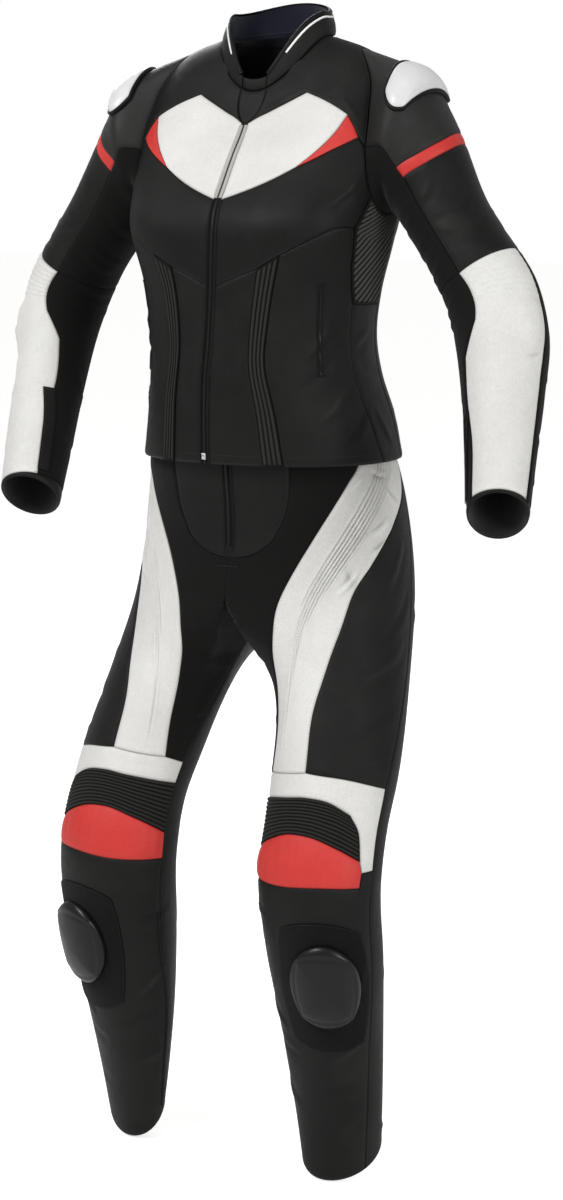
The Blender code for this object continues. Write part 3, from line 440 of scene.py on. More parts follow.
forms = {"body": (body, bodyNormal), "collar": (collar, collarNormal), "hips": (frontHips, frontHipsNormal)}
for letter, side in sides:
    forms["sleeve_" + letter] = (sleeve(side), sleeveNormal(side))
    forms["leg_" + letter] = (leg(side), legNormal(side))


def runLengths(line):
    return np.concatenate([[0.0], np.cumsum(np.linalg.norm(np.diff(line, axis=0), axis=1))])


# lines of (turn, level) places; a seam is a row of stretches, each with its number of cells
def trace(count, *places):
    places = np.array(places, float)
    if len(places) == 2:
        return places[0] + (places[1] - places[0]) * np.linspace(0, 1, count + 1)[:, None]
    steps = np.linalg.norm(np.diff(places, axis=0) * placeScale, axis=1)
    knots = np.concatenate([[0.0], np.cumsum(steps)])
    return smooth(knots, places, np.linspace(0, knots[-1], count + 1))


def chain(*lines):
    return np.concatenate([lines[0]] + [line[1:] for line in lines[1:]])


def arc(count, start, end):
    turn, level = armholePlace(np.linspace(start, end, int(count) + 1))
    return np.stack([turn, level], -1)


def armholePoint(angle):
    return tuple(float(value) for value in armholePlace(angle))


def mirrored(line):
    return line * np.array([-1, 1])


def mirrorEdge(line):
    return np.stack([360 - line[:, 0], line[:, 1]], -1)


def allPlaces(turns, levels):
    return np.stack(np.broadcast_arrays(turns, levels), -1)


def patch(low, high, left, right):
    s = np.linspace(0, 1, len(low))[None, :, None]
    t = np.linspace(0, 1, len(left))[:, None, None]
    across = (1 - s) * left[:, None] + s * right[:, None]
    along = (1 - t) * low[None] + t * high[None]
    corners = (1 - s) * (1 - t) * low[0] + s * (1 - t) * low[-1]
    corners = corners + (1 - s) * t * high[0] + s * t * high[-1]
    return across + along - corners


def strip(left, right, count):
    s = np.linspace(0, 1, count + 1)[None, :, None]
    return (1 - s) * left[:, None] + s * right[:, None]


hem, neck, waist, legHem = suit["hemLevel"], suit["neckLevel"], suit["waistLevel"], suit["legHem"]
mid, behind, zipTurn = suit["middleTurn"], suit["behindTurn"], suit["zipHalfTurn"]
seams = {
    "zipLower": [(7, (zipTurn, hem), (zipTurn, -0.2812))],
    "insertIn": [(7, (22.3, hem), (21.8, -0.411), (20, -0.365), (20.4, -0.319), (22, -0.2585))],
    "insertOut": [(7, (30, hem), (29, -0.411), (26.9, -0.365), (28.1, -0.319), (30.7, -0.2422))],
    "sideSeam": [
        (5, (84, hem), (78, -0.4), (74.6, -0.3017)), (1, (74.6, -0.3017), (68, -0.26)),
        (1, (68, -0.26), (64, -0.2117)),
    ],
    "accordionFront": [
        (6, (74.6, -0.3017), (68, -0.26)), (6, (68, -0.26), (64, -0.2117)),
        (3, (64, -0.2117), armholePoint(140)),
    ],
    "accordionBack": [(12, (106, -0.3045), (105, -0.2117)), (3, (105, -0.2117), armholePoint(220))],
    "backLow": [(5, (108, hem), (107, -0.39), (106, -0.3045))],
    "backHigh": [(2, (106, -0.3045), (105, -0.2117)), (3, (105, -0.2117), armholePoint(220))],
    "underBust": [
        (3, (zipTurn, -0.2812), (22, -0.2585)), (3, (22, -0.2585), (30.7, -0.2422)),
        (6, (30.7, -0.2422), (42.2, -0.2229), (54, -0.21), (64, -0.2117)),
    ],
    "chestLow": [(6, (zipTurn, -0.1543), (30, -0.1128))],
    "chestTop": [
        (4, (zipTurn, -0.0255), (6.2, -0.02), (13.7, -0.0164), (21.4, -0.0149), (29, -0.0152), (36.4, -0.0164)),
        (2, (36.4, -0.0164), (40.7, -0.0285), (45.9, -0.045), (51.8, -0.062)),
    ],
    "chestSide": [(3, (30, -0.1128), (51.8, -0.062))],
    "chestMiddle": [(3, (zipTurn, -0.1543), (zipTurn, -0.0255))],
    "bustMiddle": [(6, (zipTurn, -0.2812), (zipTurn, -0.1543))],
    "wedgeLow": [(2, (30, -0.1128), (44.9, -0.1005))],
    "wedgeSide": [(3, (44.9, -0.1005), (57.4, -0.0963))],
    "wedgeTop": [(2, (51.8, -0.062), (57.4, -0.0963))],
    "yokeEnd": [(1, (57.4, -0.0963), armholePoint(95))],
    "underarmFront": [(3, (64, -0.2117), armholePoint(140))],
    "neckFront": [(9, (14, neck), (88, neck))],
    "neckBack": [(8, (88, neck), (272, neck))],
    "flapEdge": [(1, (zipTurn, -0.0255), (14, neck))],
    "shoulderLine": [(1, (88, armhole["level"] + armhole["levelReach"]), (88, neck))],
    "backLine": [(8, armholePoint(270), (180, -0.098), (246, -0.105))],
    "zipWhole": [(15, (zipTurn, hem), (zipTurn, -0.0255))],
    "stripeHigh": [(12, (-90, 0.15), (-45, 0.168), (0, 0.181), (35, 0.183), (68, 0.1685), (95, 0.138))],
    "stripeLow": [(12, (-90, 0.172), (-45, 0.189), (0, 0.2), (35, 0.203), (68, 0.1945), (95, 0.174))],
    "elbow": [(4, (-90, 0.435), (-2, 0.436)), (8, (-2, 0.436), (45, 0.444), (95, 0.452))],
    "elbowUnder": [(6, (95, 0.452), (270, 0.435))],
    "forearmFront": [
        (12, (95, 0.452), (92, 0.5), (93, 0.565), (96, 0.59)), (2, (96, 0.59), (120, 0.665)),
        (4, (120, 0.665), (123, 0.76), (116, 0.85), (117, 1)),
    ],
    "forearmBack": [
        (12, (-2, 0.436), (-2, 0.59)), (2, (-2, 0.59), (-2, 0.665)), (4, (-2, 0.665), (-2, 1)),
    ],
    "wrist": [(8, (-2, 1), (117, 1))],
    "wristUnder": [(10, (117, 1), (358, 1))],
    "flySide": [(4, (-9, waist), (-10.5, 0.49), (-17, 0.545), (-28, 0.579))],
    "flyFoot": [(3, (-28, 0.579), (-42, 0.596), (mid, 0.602))],
    "riseFront": [(1, (mid, 0.602), (mid, 0.65))],
    "riseBack": [(4, (behind, waist), (behind, 0.65))],
    "crotchFront": [(2, (mid, 0.65), (-92, 0.65))],
    "crotchBack": [(3, (behind, 0.65), (268, 0.65))],
    "inseam": [(4, (268, 0.65), (272, 0.75), (284, 0.862))],
    "thighIn": [(
        14, (66, waist), (50, 0.487), (33, 0.513), (15, 0.545), (2, 0.572), (-14, 0.615),
        (-23, 0.65), (-29, 0.69), (-34, 0.72), (-37, 0.75), (-43, 0.803), (-53, 0.852),
    )],
    "hipSide": [(2, (150, waist), (128, 0.505))],
    "thighTop": [(4, (128, 0.505), (112, 0.53), (84, 0.56))],
    "thighSide": [(
        8, (84, 0.56), (47, 0.605), (29, 0.636), (20, 0.686), (13, 0.7435), (6, 0.783), (0, 0.841),
    )],
    "outerSeam": [(8, (128, 0.505), (115, 0.6), (100, 0.75), (81, 0.862))],
    "waistBack": [(10, (66, waist), (150, waist))],
    "bandInside": [(3, (-76, 0.862), (-53, 0.852))],
    "bandFront": [(10, (-53, 0.852), (0, 0.841))],
    "bandOutside": [(3, (0, 0.841), (32, 0.845), (81, 0.862))],
    "stripOut": [(7, (81, 0.862), (81, 0.951))],
    "ribsTop": [(16, (-76, 0.886), (-22, 0.872), (2.5, 0.868), (23, 0.871), (45, 0.885))],
    "stripIn": [(6, (45, 0.885), (57, 0.907), (62, 0.9376))],
    "stripEnd": [(1, (62, 0.9376), (65.5, 0.951))],
    "ribsOut": [(18, (45, 0.885), (57, 0.907), (62, 0.9376))],
    "ribsIn": [(18, (-76, 0.886), (-76, 0.943))],
    "capTop": [(8, (-76, 0.943), (-38, 0.921), (-9.8, 0.909), (12, 0.91), (36, 0.921), (62, 0.9376))],
    "capLow": [(8, (-76, 0.974), (-14, 0.9706), (20, 0.967), (64, 0.968))],
    "capIn": [(2, (-76, 0.943), (-76, 0.974))],
    "capEnd": [(1, (65.5, 0.951), (64, 0.968))],
    "shinTopEnd": [(1, (65.5, 0.951), (81, 0.951))],
    "shinOut": [
        (1, (81, 0.951), (77, 1.015)), (4, (77, 1.015), (77, 1.077), (71, 1.18)),
        (3, (71, 1.18), (64, legHem)),
    ],
    "shinIn": [
        (1, (284, 0.974), (287, 1.02)), (4, (287, 1.02), (286, 1.077), (274, 1.18)),
        (3, (274, 1.18), (278, legHem)),
    ],
    "kneeIn": [
        (1, (284, 0.862), (284, 0.886)), (3, (284, 0.886), (284, 0.943)), (2, (284, 0.943), (284, 0.974)),
    ],
    "shinHem": [(10, (-82, legHem), (64, legHem))],
}


def seam(name, fine, first=0, last=None):
    # the places of a seam; fine is one number or one for each stretch
    stretches = seams[name][first:last]
    fine = fine if isinstance(fine, tuple) else (fine,) * len(stretches)
    return chain(*[trace(int(round(row[0] * share)), *row[1:]) for row, share in zip(stretches, fine)])


# how a cloth wall is sewn: its rolled edges, its thread and the grid lines near an edge
sewing = dict(
    edgeDip=0.0012, edgeReach=0.0011, threadLine=0.0026, threadDip=0.00025, threadReach=0.0009, puff=0.00022,
    puffLine=0.0058, puffReach=0.0028, pitch=0.0037, stitch=0.0027, threadWidth=0.00032, threadHeight=0.00034,
    threadEnd=-0.00012, threadSide=0.00006, threadFoot=-0.0002, nearLines=((0.0008, 0.22), (0.0026, 0.6)),
    leastStep=0.0024, sharpAngle=52, partSharpAngle=45,
)
creasing = dict(steps=15, taper=0.7, narrow=2.0, trough=0.55, troughAway=0.85, edgeFade=0.012, edgeLeft=0.25)
flatPiece = dict(least=0.0105, fullest=0.98, emptiest=0.32)
threads = {"blackThread": [], "paleThread": []}

# creases as (turn, level) lines; bow, depth and width in mm: a depth above 0 is a ridge with a trough beside it
creaseNames = "fromTurn fromLevel toTurn toLevel bow depth width"
creases = {
    "body": table(
        creaseNames,
        (62, -0.32, 44, -0.365, 6, 1.6, 9),
        (66, -0.352, 40, -0.402, 7, -1.8, 10),
        (72, -0.39, 47, -0.44, 6, 1.9, 11),
        (84, -0.415, 58, -0.468, 5, -1.7, 10),
        (96, -0.33, 72, -0.352, 5, 1.5, 9),
        (104, -0.385, 80, -0.372, 4, -1.4, 9),
        (98, -0.47, 88, -0.425, 3, 1.5, 8),
        (13, -0.345, 8, -0.42, 3, -0.7, 12),
        (16, -0.3, 12, -0.365, 3, 0.6, 12),
        (52, -0.175, 61, -0.14, 4, 1.5, 9),
        (46, -0.19, 58, -0.168, 4, -1.3, 8),
        (58, -0.078, 50, -0.04, 3, 1.1, 9),
        (44, -0.032, 70, -0.018, 3, 0.8, 9),
        (-64, -0.312, -46, -0.35, -5, 1.5, 9),
        (-68, -0.345, -41, -0.385, -6, -1.7, 10),
        (-73, -0.395, -50, -0.432, -6, 1.7, 10),
        (-86, -0.425, -60, -0.472, -4, -1.5, 10),
        (-99, -0.34, -76, -0.36, -4, 1.4, 9),
        (-102, -0.402, -84, -0.392, -4, -1.5, 9),
        (-12, -0.33, -9, -0.41, -3, -0.6, 12),
        (-50, -0.18, -60, -0.146, -4, 1.3, 9),
        (-56, -0.08, -48, -0.044, -3, 1, 9),
        (128, -0.33, 168, -0.352, 6, 1.5, 11),
        (132, -0.36, 176, -0.385, 7, -1.8, 11),
        (138, -0.398, 172, -0.412, 5, 1.4, 12),
        (-126, -0.325, -160, -0.345, -6, 1.6, 11),
        (-134, -0.352, -178, -0.378, -6, -1.7, 12),
        (-130, -0.392, -166, -0.42, -5, 1.5, 12),
        (118, -0.44, 150, -0.462, 4, -1.3, 12),
        (-120, -0.45, -146, -0.458, -4, 1.2, 11),
        (126, -0.15, 116, -0.225, 5, 1.4, 11),
        (-124, -0.155, -115, -0.215, -5, 1.3, 11),
    ),
    "sleeve_l": table(
        creaseNames,
        (60, 0.225, 96, 0.262, 4, 1.5, 8),
        (30, 0.3, 92, 0.318, 6, -1.8, 8),
        (18, 0.352, 90, 0.346, 5, 1.8, 7),
        (26, 0.398, 93, 0.386, 5, -1.7, 6),
        (4, 0.415, 60, 0.424, 4, 1.3, 5),
        (-70, 0.3, -20, 0.322, 5, 1.4, 8),
        (-66, 0.372, -14, 0.392, 5, -1.6, 7),
        (110, 0.42, 200, 0.43, 8, 2.2, 8),
        (104, 0.38, 190, 0.392, 8, -2, 8),
        (108, 0.33, 176, 0.35, 7, 1.7, 8),
        (112, 0.255, 170, 0.28, 6, -1.5, 9),
        (120, 0.48, 215, 0.47, 8, -2.1, 8),
        (126, 0.53, 220, 0.515, 8, 1.8, 8),
        (4, 0.61, 58, 0.628, 5, 1.4, 9),
        (0, 0.655, 34, 0.69, 4, -1.5, 9),
        (2, 0.73, 30, 0.8, 4, 1.3, 9),
        (88, 0.64, 60, 0.7, 4, 0.9, 10),
        (6, 0.9, 40, 0.935, 4, -1.1, 8),
        (100, 0.905, 66, 0.95, 4, 1, 8),
        (150, 0.72, 210, 0.76, 6, 1.4, 9),
        (140, 0.86, 230, 0.88, 6, -1.4, 9),
        (-80, 0.64, -30, 0.69, 5, 1.5, 9),
        (-60, 0.78, -14, 0.82, 5, -1.3, 9),
        (-72, 0.9, -24, 0.925, 5, 1.3, 8),
    ),
    "leg_l": table(
        creaseNames,
        (34.4, 0.518, 51.5, 0.5024, 3, 2, 6),
        (45, 0.576, 78, 0.5538, 4, 2.5, 7),
        (47, 0.59, 74, 0.57, 3, -2.2, 7),
        (16, 0.636, 33, 0.613, 3, 2.2, 6),
        (22, 0.603, 29.5, 0.633, 2, -1.8, 5),
        (72, 0.519, 94, 0.543, 3, 2.3, 7),
        (58, 0.499, 84, 0.509, 3, -1.9, 6),
        (70, 0.9, 79, 0.935, 2, 0.8, 7),
        (-60, 0.885, -40, 0.905, 2, 0.8, 6),
        (-74, 1, -40, 1.012, 4, 1.6, 9),
        (-80, 1.035, -52, 1.062, 4, -1.6, 9),
        (70, 1.03, 60, 1.1, 4, 1.3, 9),
        (-72, 1.12, -30, 1.158, 5, 1.6, 10),
        (-64, 1.17, -16, 1.188, 5, -1.7, 10),
        (60, 1.16, 20, 1.196, 5, 1.5, 10),
        (56, 1.215, 12, 1.232, 5, -1.5, 10),
        (-74, 1.225, -28, 1.262, 5, 1.5, 11),
        (50, 1.27, 22, 1.285, 4, 1.2, 10),
        (96, 0.58, 60, 0.64, 5, 1.5, 11),
        (104, 0.64, 62, 0.69, 5, -1.6, 11),
        (92, 0.7, 44, 0.742, 6, 1.5, 11),
        (84, 0.772, 30, 0.8, 6, -1.4, 11),
        (78, 0.825, 40, 0.832, 4, 1.3, 8),
        (-80, 0.7, -50, 0.668, 4, 1.7, 10),
        (-84, 0.745, -50, 0.722, 4, -1.8, 10),
        (-82, 0.805, -56, 0.79, 4, 1.6, 9),
        (-40, 0.64, -58, 0.622, 3, -1.2, 9),
        (150, 0.905, 230, 0.895, 9, 2.2, 12),
        (140, 0.935, 240, 0.93, 9, -2.3, 12),
        (150, 0.97, 225, 0.985, 8, 2, 12),
        (132, 0.865, 210, 0.855, 8, -1.9, 12),
        (120, 0.68, 190, 0.655, 8, 1.7, 13),
        (134, 0.735, 215, 0.715, 8, -1.7, 13),
        (200, 0.59, 232, 0.64, 5, 1.6, 12),
        (180, 0.56, 226, 0.6, 5, -1.4, 12),
        (110, 1.08, 180, 1.12, 7, 1.6, 12),
        (250, 1.06, 190, 1.1, 7, -1.7, 12),
        (120, 1.2, 200, 1.23, 7, 1.6, 12),
        (240, 1.18, 170, 1.26, 7, -1.5, 12),
        (100, 1.29, 160, 1.3, 5, 1.3, 10),
    ),
}


def uneven(rows, seed):
    # the same creases for the other arm or leg, a little elsewhere and not as deep
    wild = np.random.default_rng(seed)
    moved = {name: column.copy() for name, column in rows.items()}
    count = len(moved["depth"])
    for name, reach in dict(fromTurn=7.0, toTurn=7.0, fromLevel=0.010, toLevel=0.010, bow=1.5).items():
        moved[name] += wild.uniform(-reach, reach, count)
    moved["depth"] *= wild.uniform(0.65, 1.15, count)
    moved["width"] *= wild.uniform(0.85, 1.2, count)
    return moved


creases["sleeve_r"] = uneven(creases["sleeve_l"], 11)
creases["leg_r"] = uneven(creases["leg_l"], 12)
creases["collar"] = creases["hips"] = None


def creaseHeights(form, points, normals):
    # how far the creases move each point out, in metres
    height = np.zeros(points.shape[:-1])
    rows = creases[form]
    if rows is None:
        return height
    surface = forms[form][0]
    low, high = points.reshape(-1, 3).min(0), points.reshape(-1, 3).max(0)
    for i in range(len(rows["depth"])):
        row = {name: rows[name][i] for name in rows}
        t = np.linspace(0, 1, creasing["steps"])
        turn = row["fromTurn"] + (row["toTurn"] - row["fromTurn"]) * t
        level = row["fromLevel"] + (row["toLevel"] - row["fromLevel"]) * t
        along = np.sin(np.pi * t)
        line = surface(turn, level)
        line = line + np.array([0.0, 0.0, -0.001]) * row["bow"] * along[:, None]
        width = row["width"] / 1000
        if (line.min(0) > high + 3 * width).any() or (line.max(0) < low - 3 * width).any():
            continue
        nearest = np.full(points.shape[:-1], 1e9)
        signed = np.zeros(points.shape[:-1])
        place = np.zeros(points.shape[:-1])
        for j in range(len(t) - 1):
            run = line[j + 1] - line[j]
            share = np.clip(((points - line[j]) @ run) / (run @ run), 0, 1)
            apart = points - line[j] - share[..., None] * run
            distance = np.linalg.norm(apart, axis=-1)
            closer = distance < nearest
            side = (np.cross(normals, run) * apart).sum(-1)
            nearest = np.where(closer, distance, nearest)
            signed = np.where(closer, distance * np.sign(side), signed)
            place = np.where(closer, (j + share) / (len(t) - 1), place)
        taper = np.clip(np.sin(np.pi * np.clip(place, 0.0, 1.0)), 0, 1) ** creasing["taper"]
        across, narrow = signed / width, creasing["narrow"]
        trough = creasing["trough"] * np.exp(-(((across - creasing["troughAway"]) * narrow) ** 2))
        shape = np.exp(-((across * narrow) ** 2)) - trough
        height += row["depth"] / 1000 * shape * taper
    return height


def nearEdges(places, surface, ring):
    # more lines close to the edges, so that a seam can roll in
    for axis in ((0,) if ring else (0, 1)):
        grid = places if axis == 0 else places.swapaxes(0, 1)
        if len(grid) < 4:
            continue
        at = surface(grid[[0, 1, -2, -1], :, 0], grid[[0, 1, -2, -1], :, 1])
        first = np.linalg.norm(at[1] - at[0], axis=-1)[:, None]
        last = np.linalg.norm(at[3] - at[2], axis=-1)[:, None]
        if np.median(first) < sewing["leastStep"]:
            continue
        near = sewing["nearLines"]
        head = [grid[0] + (grid[1] - grid[0]) * np.minimum(reach / first, most) for reach, most in near]
        tail = [grid[-1] + (grid[-2] - grid[-1]) * np.minimum(reach / last, most) for reach, most in near]
        grid = np.concatenate([grid[:1], head, grid[1:-1], tail[::-1], grid[-1:]])
        places = grid if axis == 0 else grid.swapaxes(0, 1)
    return places


def lengthsFrom(points, axis):
    steps = np.linalg.norm(np.diff(points, axis=axis), axis=-1)
    start = np.zeros_like(steps[:1] if axis == 0 else steps[:, :1])
    return np.concatenate([start, np.cumsum(steps, axis=axis)], axis=axis)


def edgeShift(edge, inside):
    inward = inside - edge
    along = unit(np.gradient(edge, axis=0))
    inward = inward - along * (inward * along).sum(-1, keepdims=True)
    return unit(inward) * suit["seamGap"] / 2


def makeShell(name, outer, inner, ring=False):
    # a closed wall: the outer side and rim have the first material, the inner side the second
    rows, count = outer.shape[:2]
    half = rows * count
    i, j = np.meshgrid(np.arange(rows - 1), np.arange(count if ring else count - 1), indexing="ij")
    a, b = (i * count + j).ravel(), (i * count + (j + 1) % count).ravel()
    front = np.stack([a, b, b + count, a + count], -1)
    back = half + np.stack([a, a + count, b + count, b], -1)
    if ring:
        top = np.arange(count)
        loops = [(top, np.roll(top, -1)), (np.roll(top, -1) + half - count, top + half - count)]
    else:
        rim = np.concatenate([
            np.arange(count - 1), np.arange(rows - 1) * count + count - 1,
            half - 1 - np.arange(count - 1), half - count - np.arange(rows - 1) * count,
        ])
        loops = [(rim, np.roll(rim, -1))]
    rims = [np.stack([q, p, p + half, q + half], -1) for p, q in loops]
    faces = np.concatenate([front, *rims, back])
    points = np.concatenate([outer.reshape(-1, 3), inner.reshape(-1, 3)])
    spans = points[front[:, 2]] - points[front[:, 0]]
    others = points[front[:, 3]] - points[front[:, 1]]
    across = (outer - inner).reshape(-1, 3)[front[:, 0]]
    if (np.cross(spans, others) * across).sum() < 0:
        faces = faces[:, ::-1]
    mesh = bpy.data.meshes.new(name)
    mesh.vertices.add(len(points))
    mesh.vertices.foreach_set("co", points.ravel())
    mesh.loops.add(faces.size)
    mesh.loops.foreach_set("vertex_index", faces.ravel().astype(np.int32))
    mesh.polygons.add(len(faces))
    mesh.polygons.foreach_set("loop_start", np.arange(0, faces.size, 4, dtype=np.int32))
    inside = np.zeros(len(faces), np.int32)
    inside[len(faces) - len(back):] = 1
    mesh.polygons.foreach_set("material_index", inside)
    mesh.update(calc_edges=True)
    mesh.shade_smooth()
    mesh.set_sharp_from_angle(angle=np.radians(sewing["sharpAngle"]))
    piece = bpy.data.objects.new(name, mesh)
    scene.collection.objects.link(piece)
    return piece


def fromEdgeOn(stack, edge):
    # the same grid with that edge as its first row
    if edge in ("left", "right"):
        stack = stack.swapaxes(0, 1)
    return stack[::-1] if edge in ("high", "right") else stack


def insetLine(outer, normals, edge, distance):
    # a line along the outer side, that far in from an edge
    grid, aims = fromEdgeOn(outer, edge), fromEdgeOn(normals, edge)
    lengths = lengthsFrom(grid, 0)
    index = np.clip((lengths < distance).sum(0), 1, len(grid) - 1)
    each = np.arange(grid.shape[1])
    before, after = lengths[index - 1, each], lengths[index, each]
    share = np.clip((distance - before) / np.maximum(after - before, 1e-9), 0, 1)[:, None]
    line = grid[index - 1, each] * (1 - share) + grid[index, each] * share
    return line, unit(aims[index - 1, each] * (1 - share) + aims[index, each] * share)


def resample(line, normals, pitch, closed=False):
    if closed:
        line, normals = np.concatenate([line, line[:1]]), np.concatenate([normals, normals[:1]])
    lengths = runLengths(line)
    count = max(2, int(lengths[-1] / pitch))
    at = (np.arange(count) + 0.5) * lengths[-1] / count

    def found(at, values):
        return np.stack([np.interp(at, lengths, values[:, k]) for k in range(3)], -1)

    return found(at, line), unit(found(at + 1e-4, line) - found(at - 1e-4, line)), unit(found(at, normals))


def lineAcross(outer, normals, top, foot):
    # a line down the grid that starts at one share of its width and ends at another
    lengths = lengthsFrom(outer, 1)
    share = (top + (foot - top) * np.linspace(0, 1, len(outer)))[:, None] * lengths[:, -1:]
    index = np.clip((lengths < share).sum(1), 1, outer.shape[1] - 1)
    each = np.arange(len(outer))
    before, after = lengths[each, index - 1], lengths[each, index]
    part = ((share[:, 0] - before) / np.maximum(after - before, 1e-9))[:, None]
    line = outer[each, index - 1] * (1 - part) + outer[each, index] * part
    return line, unit(normals[each, index - 1])


def stitchAlong(line, normals, thread, closed=False):
    # small proud stitches on a line; both ends of each go down into the leather
    place, run, out = resample(line, normals, sewing["pitch"], closed)
    if not closed and len(place) > 4:
        place, run, out = place[1:-1], run[1:-1], out[1:-1]
    side = np.cross(run, out)
    half = sewing["stitch"] / 2
    wide, end, beside = sewing["threadWidth"], out * sewing["threadEnd"], out * sewing["threadSide"]
    corners = [
        place - run * half + end, place + run * half + end, place + side * wide + beside,
        place + out * sewing["threadHeight"], place - side * wide + beside, place + out * sewing["threadFoot"],
    ]
    threads[thread].append(np.stack(corners, 1))


def flatCut(outer):
    # the size of the piece that was cut, with its area
    widths = lengthsFrom(outer, 1)[:, -1]
    lengths = lengthsFrom(outer, 0)[-1]
    a, b, c, d = outer[:-1, :-1], outer[:-1, 1:], outer[1:, 1:], outer[1:, :-1]
    area = float((np.linalg.norm(np.cross(c - a, d - b), axis=-1) / 2).sum())
    width, length = float(np.percentile(widths, 90)), float(np.percentile(lengths, 90))
    width, length = max(width, flatPiece["least"]), max(length, flatPiece["least"])
    if area > flatPiece["fullest"] * width * length:
        length = area / width / flatPiece["fullest"]
    if area < flatPiece["emptiest"] * width * length:
        length = area / width / flatPiece["emptiest"]
    return width, length, area


def setAttribute(piece, name, values):
    layer = piece.data.attributes.new(name, "FLOAT", "POINT")
    layer.data.foreach_set("value", values.ravel().astype(np.float32))


def layUv(piece, across, along):
    # cloth coordinates in metres, for weave and ribs
    mesh = piece.data
    corner = np.empty(len(mesh.loops), np.int32)
    mesh.loops.foreach_get("vertex_index", corner)
    flat = np.stack([np.concatenate([across.ravel()] * 2), np.concatenate([along.ravel()] * 2)], -1)
    layer = mesh.uv_layers.new(name="cloth")
    layer.uv.foreach_set("vector", flat[corner].ravel().astype(np.float32))


def sewPanel(
    name, form, places, look="blackLeather", relief=None, ring=False, clear=None, lift=0.0, wall=suit["wall"],
    lining="liningMesh", stitched="", hemRow=None, dip=True, inFrame=True,
):
    # one cut piece on its form, with rolled seams, creases, relief and stitch lines
    surface, normals = forms[form]
    slotName, thread = slots[look], "paleThread" if look == "whiteLeather" else "blackThread"
    places = nearEdges(places, surface, ring)
    u, v = places[..., 0], places[..., 1]
    points, out = surface(u, v), normals(u, v)
    shift = np.zeros_like(points)
    shift[0] += edgeShift(points[0], points[1])
    shift[-1] += edgeShift(points[-1], points[-2])
    if not ring:
        shift[:, 0] += edgeShift(points[:, 0], points[:, 1])
        shift[:, -1] += edgeShift(points[:, -1], points[:, -2])
    across, along = lengthsFrom(points, 1), lengthsFrom(points, 0)
    fromEdge = np.minimum(along, along[-1:] - along)
    if not ring:
        fromEdge = np.minimum(fromEdge, np.minimum(across, across[:, -1:] - across))
    fold = creaseHeights(form, points, out)
    fold = fold * np.clip(fromEdge / creasing["edgeFade"], creasing["edgeLeft"], 1.0)
    up = np.zeros(points.shape[:-1])
    if relief is not None:
        up = up + relief(places, fromEdge, across, along)
    if dip:
        up = up - sewing["edgeDip"] * np.exp(-((fromEdge / sewing["edgeReach"]) ** 2))
        threadAway = (fromEdge - sewing["threadLine"]) / sewing["threadReach"]
        up = up - sewing["threadDip"] * np.exp(-(threadAway**2))
        up = up + sewing["puff"] * np.exp(-(((fromEdge - sewing["puffLine"]) / sewing["puffReach"]) ** 2))
    outer = points + shift + out * (lift + fold + up)[..., None]
    inner = points + shift + out * (lift + fold - wall)[..., None]
    if clear is not None:
        least = suit["seamGap"] / 2
        outer[..., 0] = np.where(outer[..., 0] * clear < least, clear * least, outer[..., 0])
        inner[..., 0] = np.where(inner[..., 0] * clear < least, clear * least, inner[..., 0])
    piece = makeShell(name + ".cloth", outer, inner, ring)
    setAttribute(piece, "fromSeam", np.concatenate([fromEdge.ravel()] * 2) * 1000)
    setAttribute(piece, "fold", np.concatenate([fold.ravel()] * 2) * 1000)
    setAttribute(piece, "raised", np.concatenate([up.ravel()] * 2) * 1000)
    layUv(piece, across, along)
    piece.data.materials.append(looks[look])
    piece.data.materials.append(looks[lining])
    if inFrame:
        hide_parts(name)
    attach(piece, "root")
    width, length, area = flatCut(outer)
    for edge in stitched.split():
        line, aims = insetLine(outer, out, edge, sewing["threadLine"])
        stitchAlong(line, aims, thread, closed=ring and edge in ("low", "high"))
    if hemRow:
        line, aims = insetLine(outer, out, "low", hemRow)
        stitchAlong(line, aims, thread)
    sewn[name] = dict(outer=outer, out=out)
    return piece


sewn = {}


def ribWave(angle):
    # one round rib for each half turn of the angle
    return np.abs(np.sin(angle)) ** 0.75


def ribRelief(axis, ribs, height, edge=0.004):
    # round ribs side by side, counted from one edge to the other, that fade at their ends
    def relief(places, fromEdge, across, along):
        if axis == 1:
            share, other, most = across / across[:, -1:], along, along[-1:]
        else:
            share, other, most = along / along[-1:], across, across[:, -1:]
        return height * ribWave(np.pi * share * ribs) * np.clip(np.minimum(other, most - other) / edge, 0, 1)

    return relief


# shader node groups and materials
def put(tree, kind, inputs=None, **settings):
    node = tree.nodes.new(kind)
    for key, value in settings.items():
        setattr(node, key, value)
    for key, value in (inputs or {}).items():
        if isinstance(value, bpy.types.NodeSocket):
            tree.links.new(value, node.inputs[key])
        else:
            node.inputs[key].default_value = value
    return node


def newGroup(name, inputs, outputs):
    # number sockets only: inputs with their usual values, and the names of the outputs
    tree = bpy.data.node_groups.new(name, "ShaderNodeTree")
    for label, value in inputs.items():
        socket = tree.interface.new_socket(label, in_out="INPUT", socket_type="NodeSocketFloat")
        socket.default_value = value
    for label in outputs:
        tree.interface.new_socket(label, in_out="OUTPUT", socket_type="NodeSocketFloat")
    return tree, tree.nodes.new("NodeGroupInput").outputs, tree.nodes.new("NodeGroupOutput").inputs


def math(tree, operation, a, b=0.0, clamp=False):
    return put(tree, "ShaderNodeMath", {0: a, 1: b}, operation=operation, use_clamp=clamp).outputs[0]


def plus(tree, a, b):
    return math(tree, "ADD", a, b)


def times(tree, a, b):
    return math(tree, "MULTIPLY", a, b)


def vectorMath(tree, operation, a, b):
    return put(tree, "ShaderNodeVectorMath", {0: a, 1: b}, operation=operation).outputs[0]


def noise(tree, vector, scale, detail=2.0, output="Fac"):
    return put(tree, "ShaderNodeTexNoise", {"Vector": vector, "Scale": scale, "Detail": detail}).outputs[output]


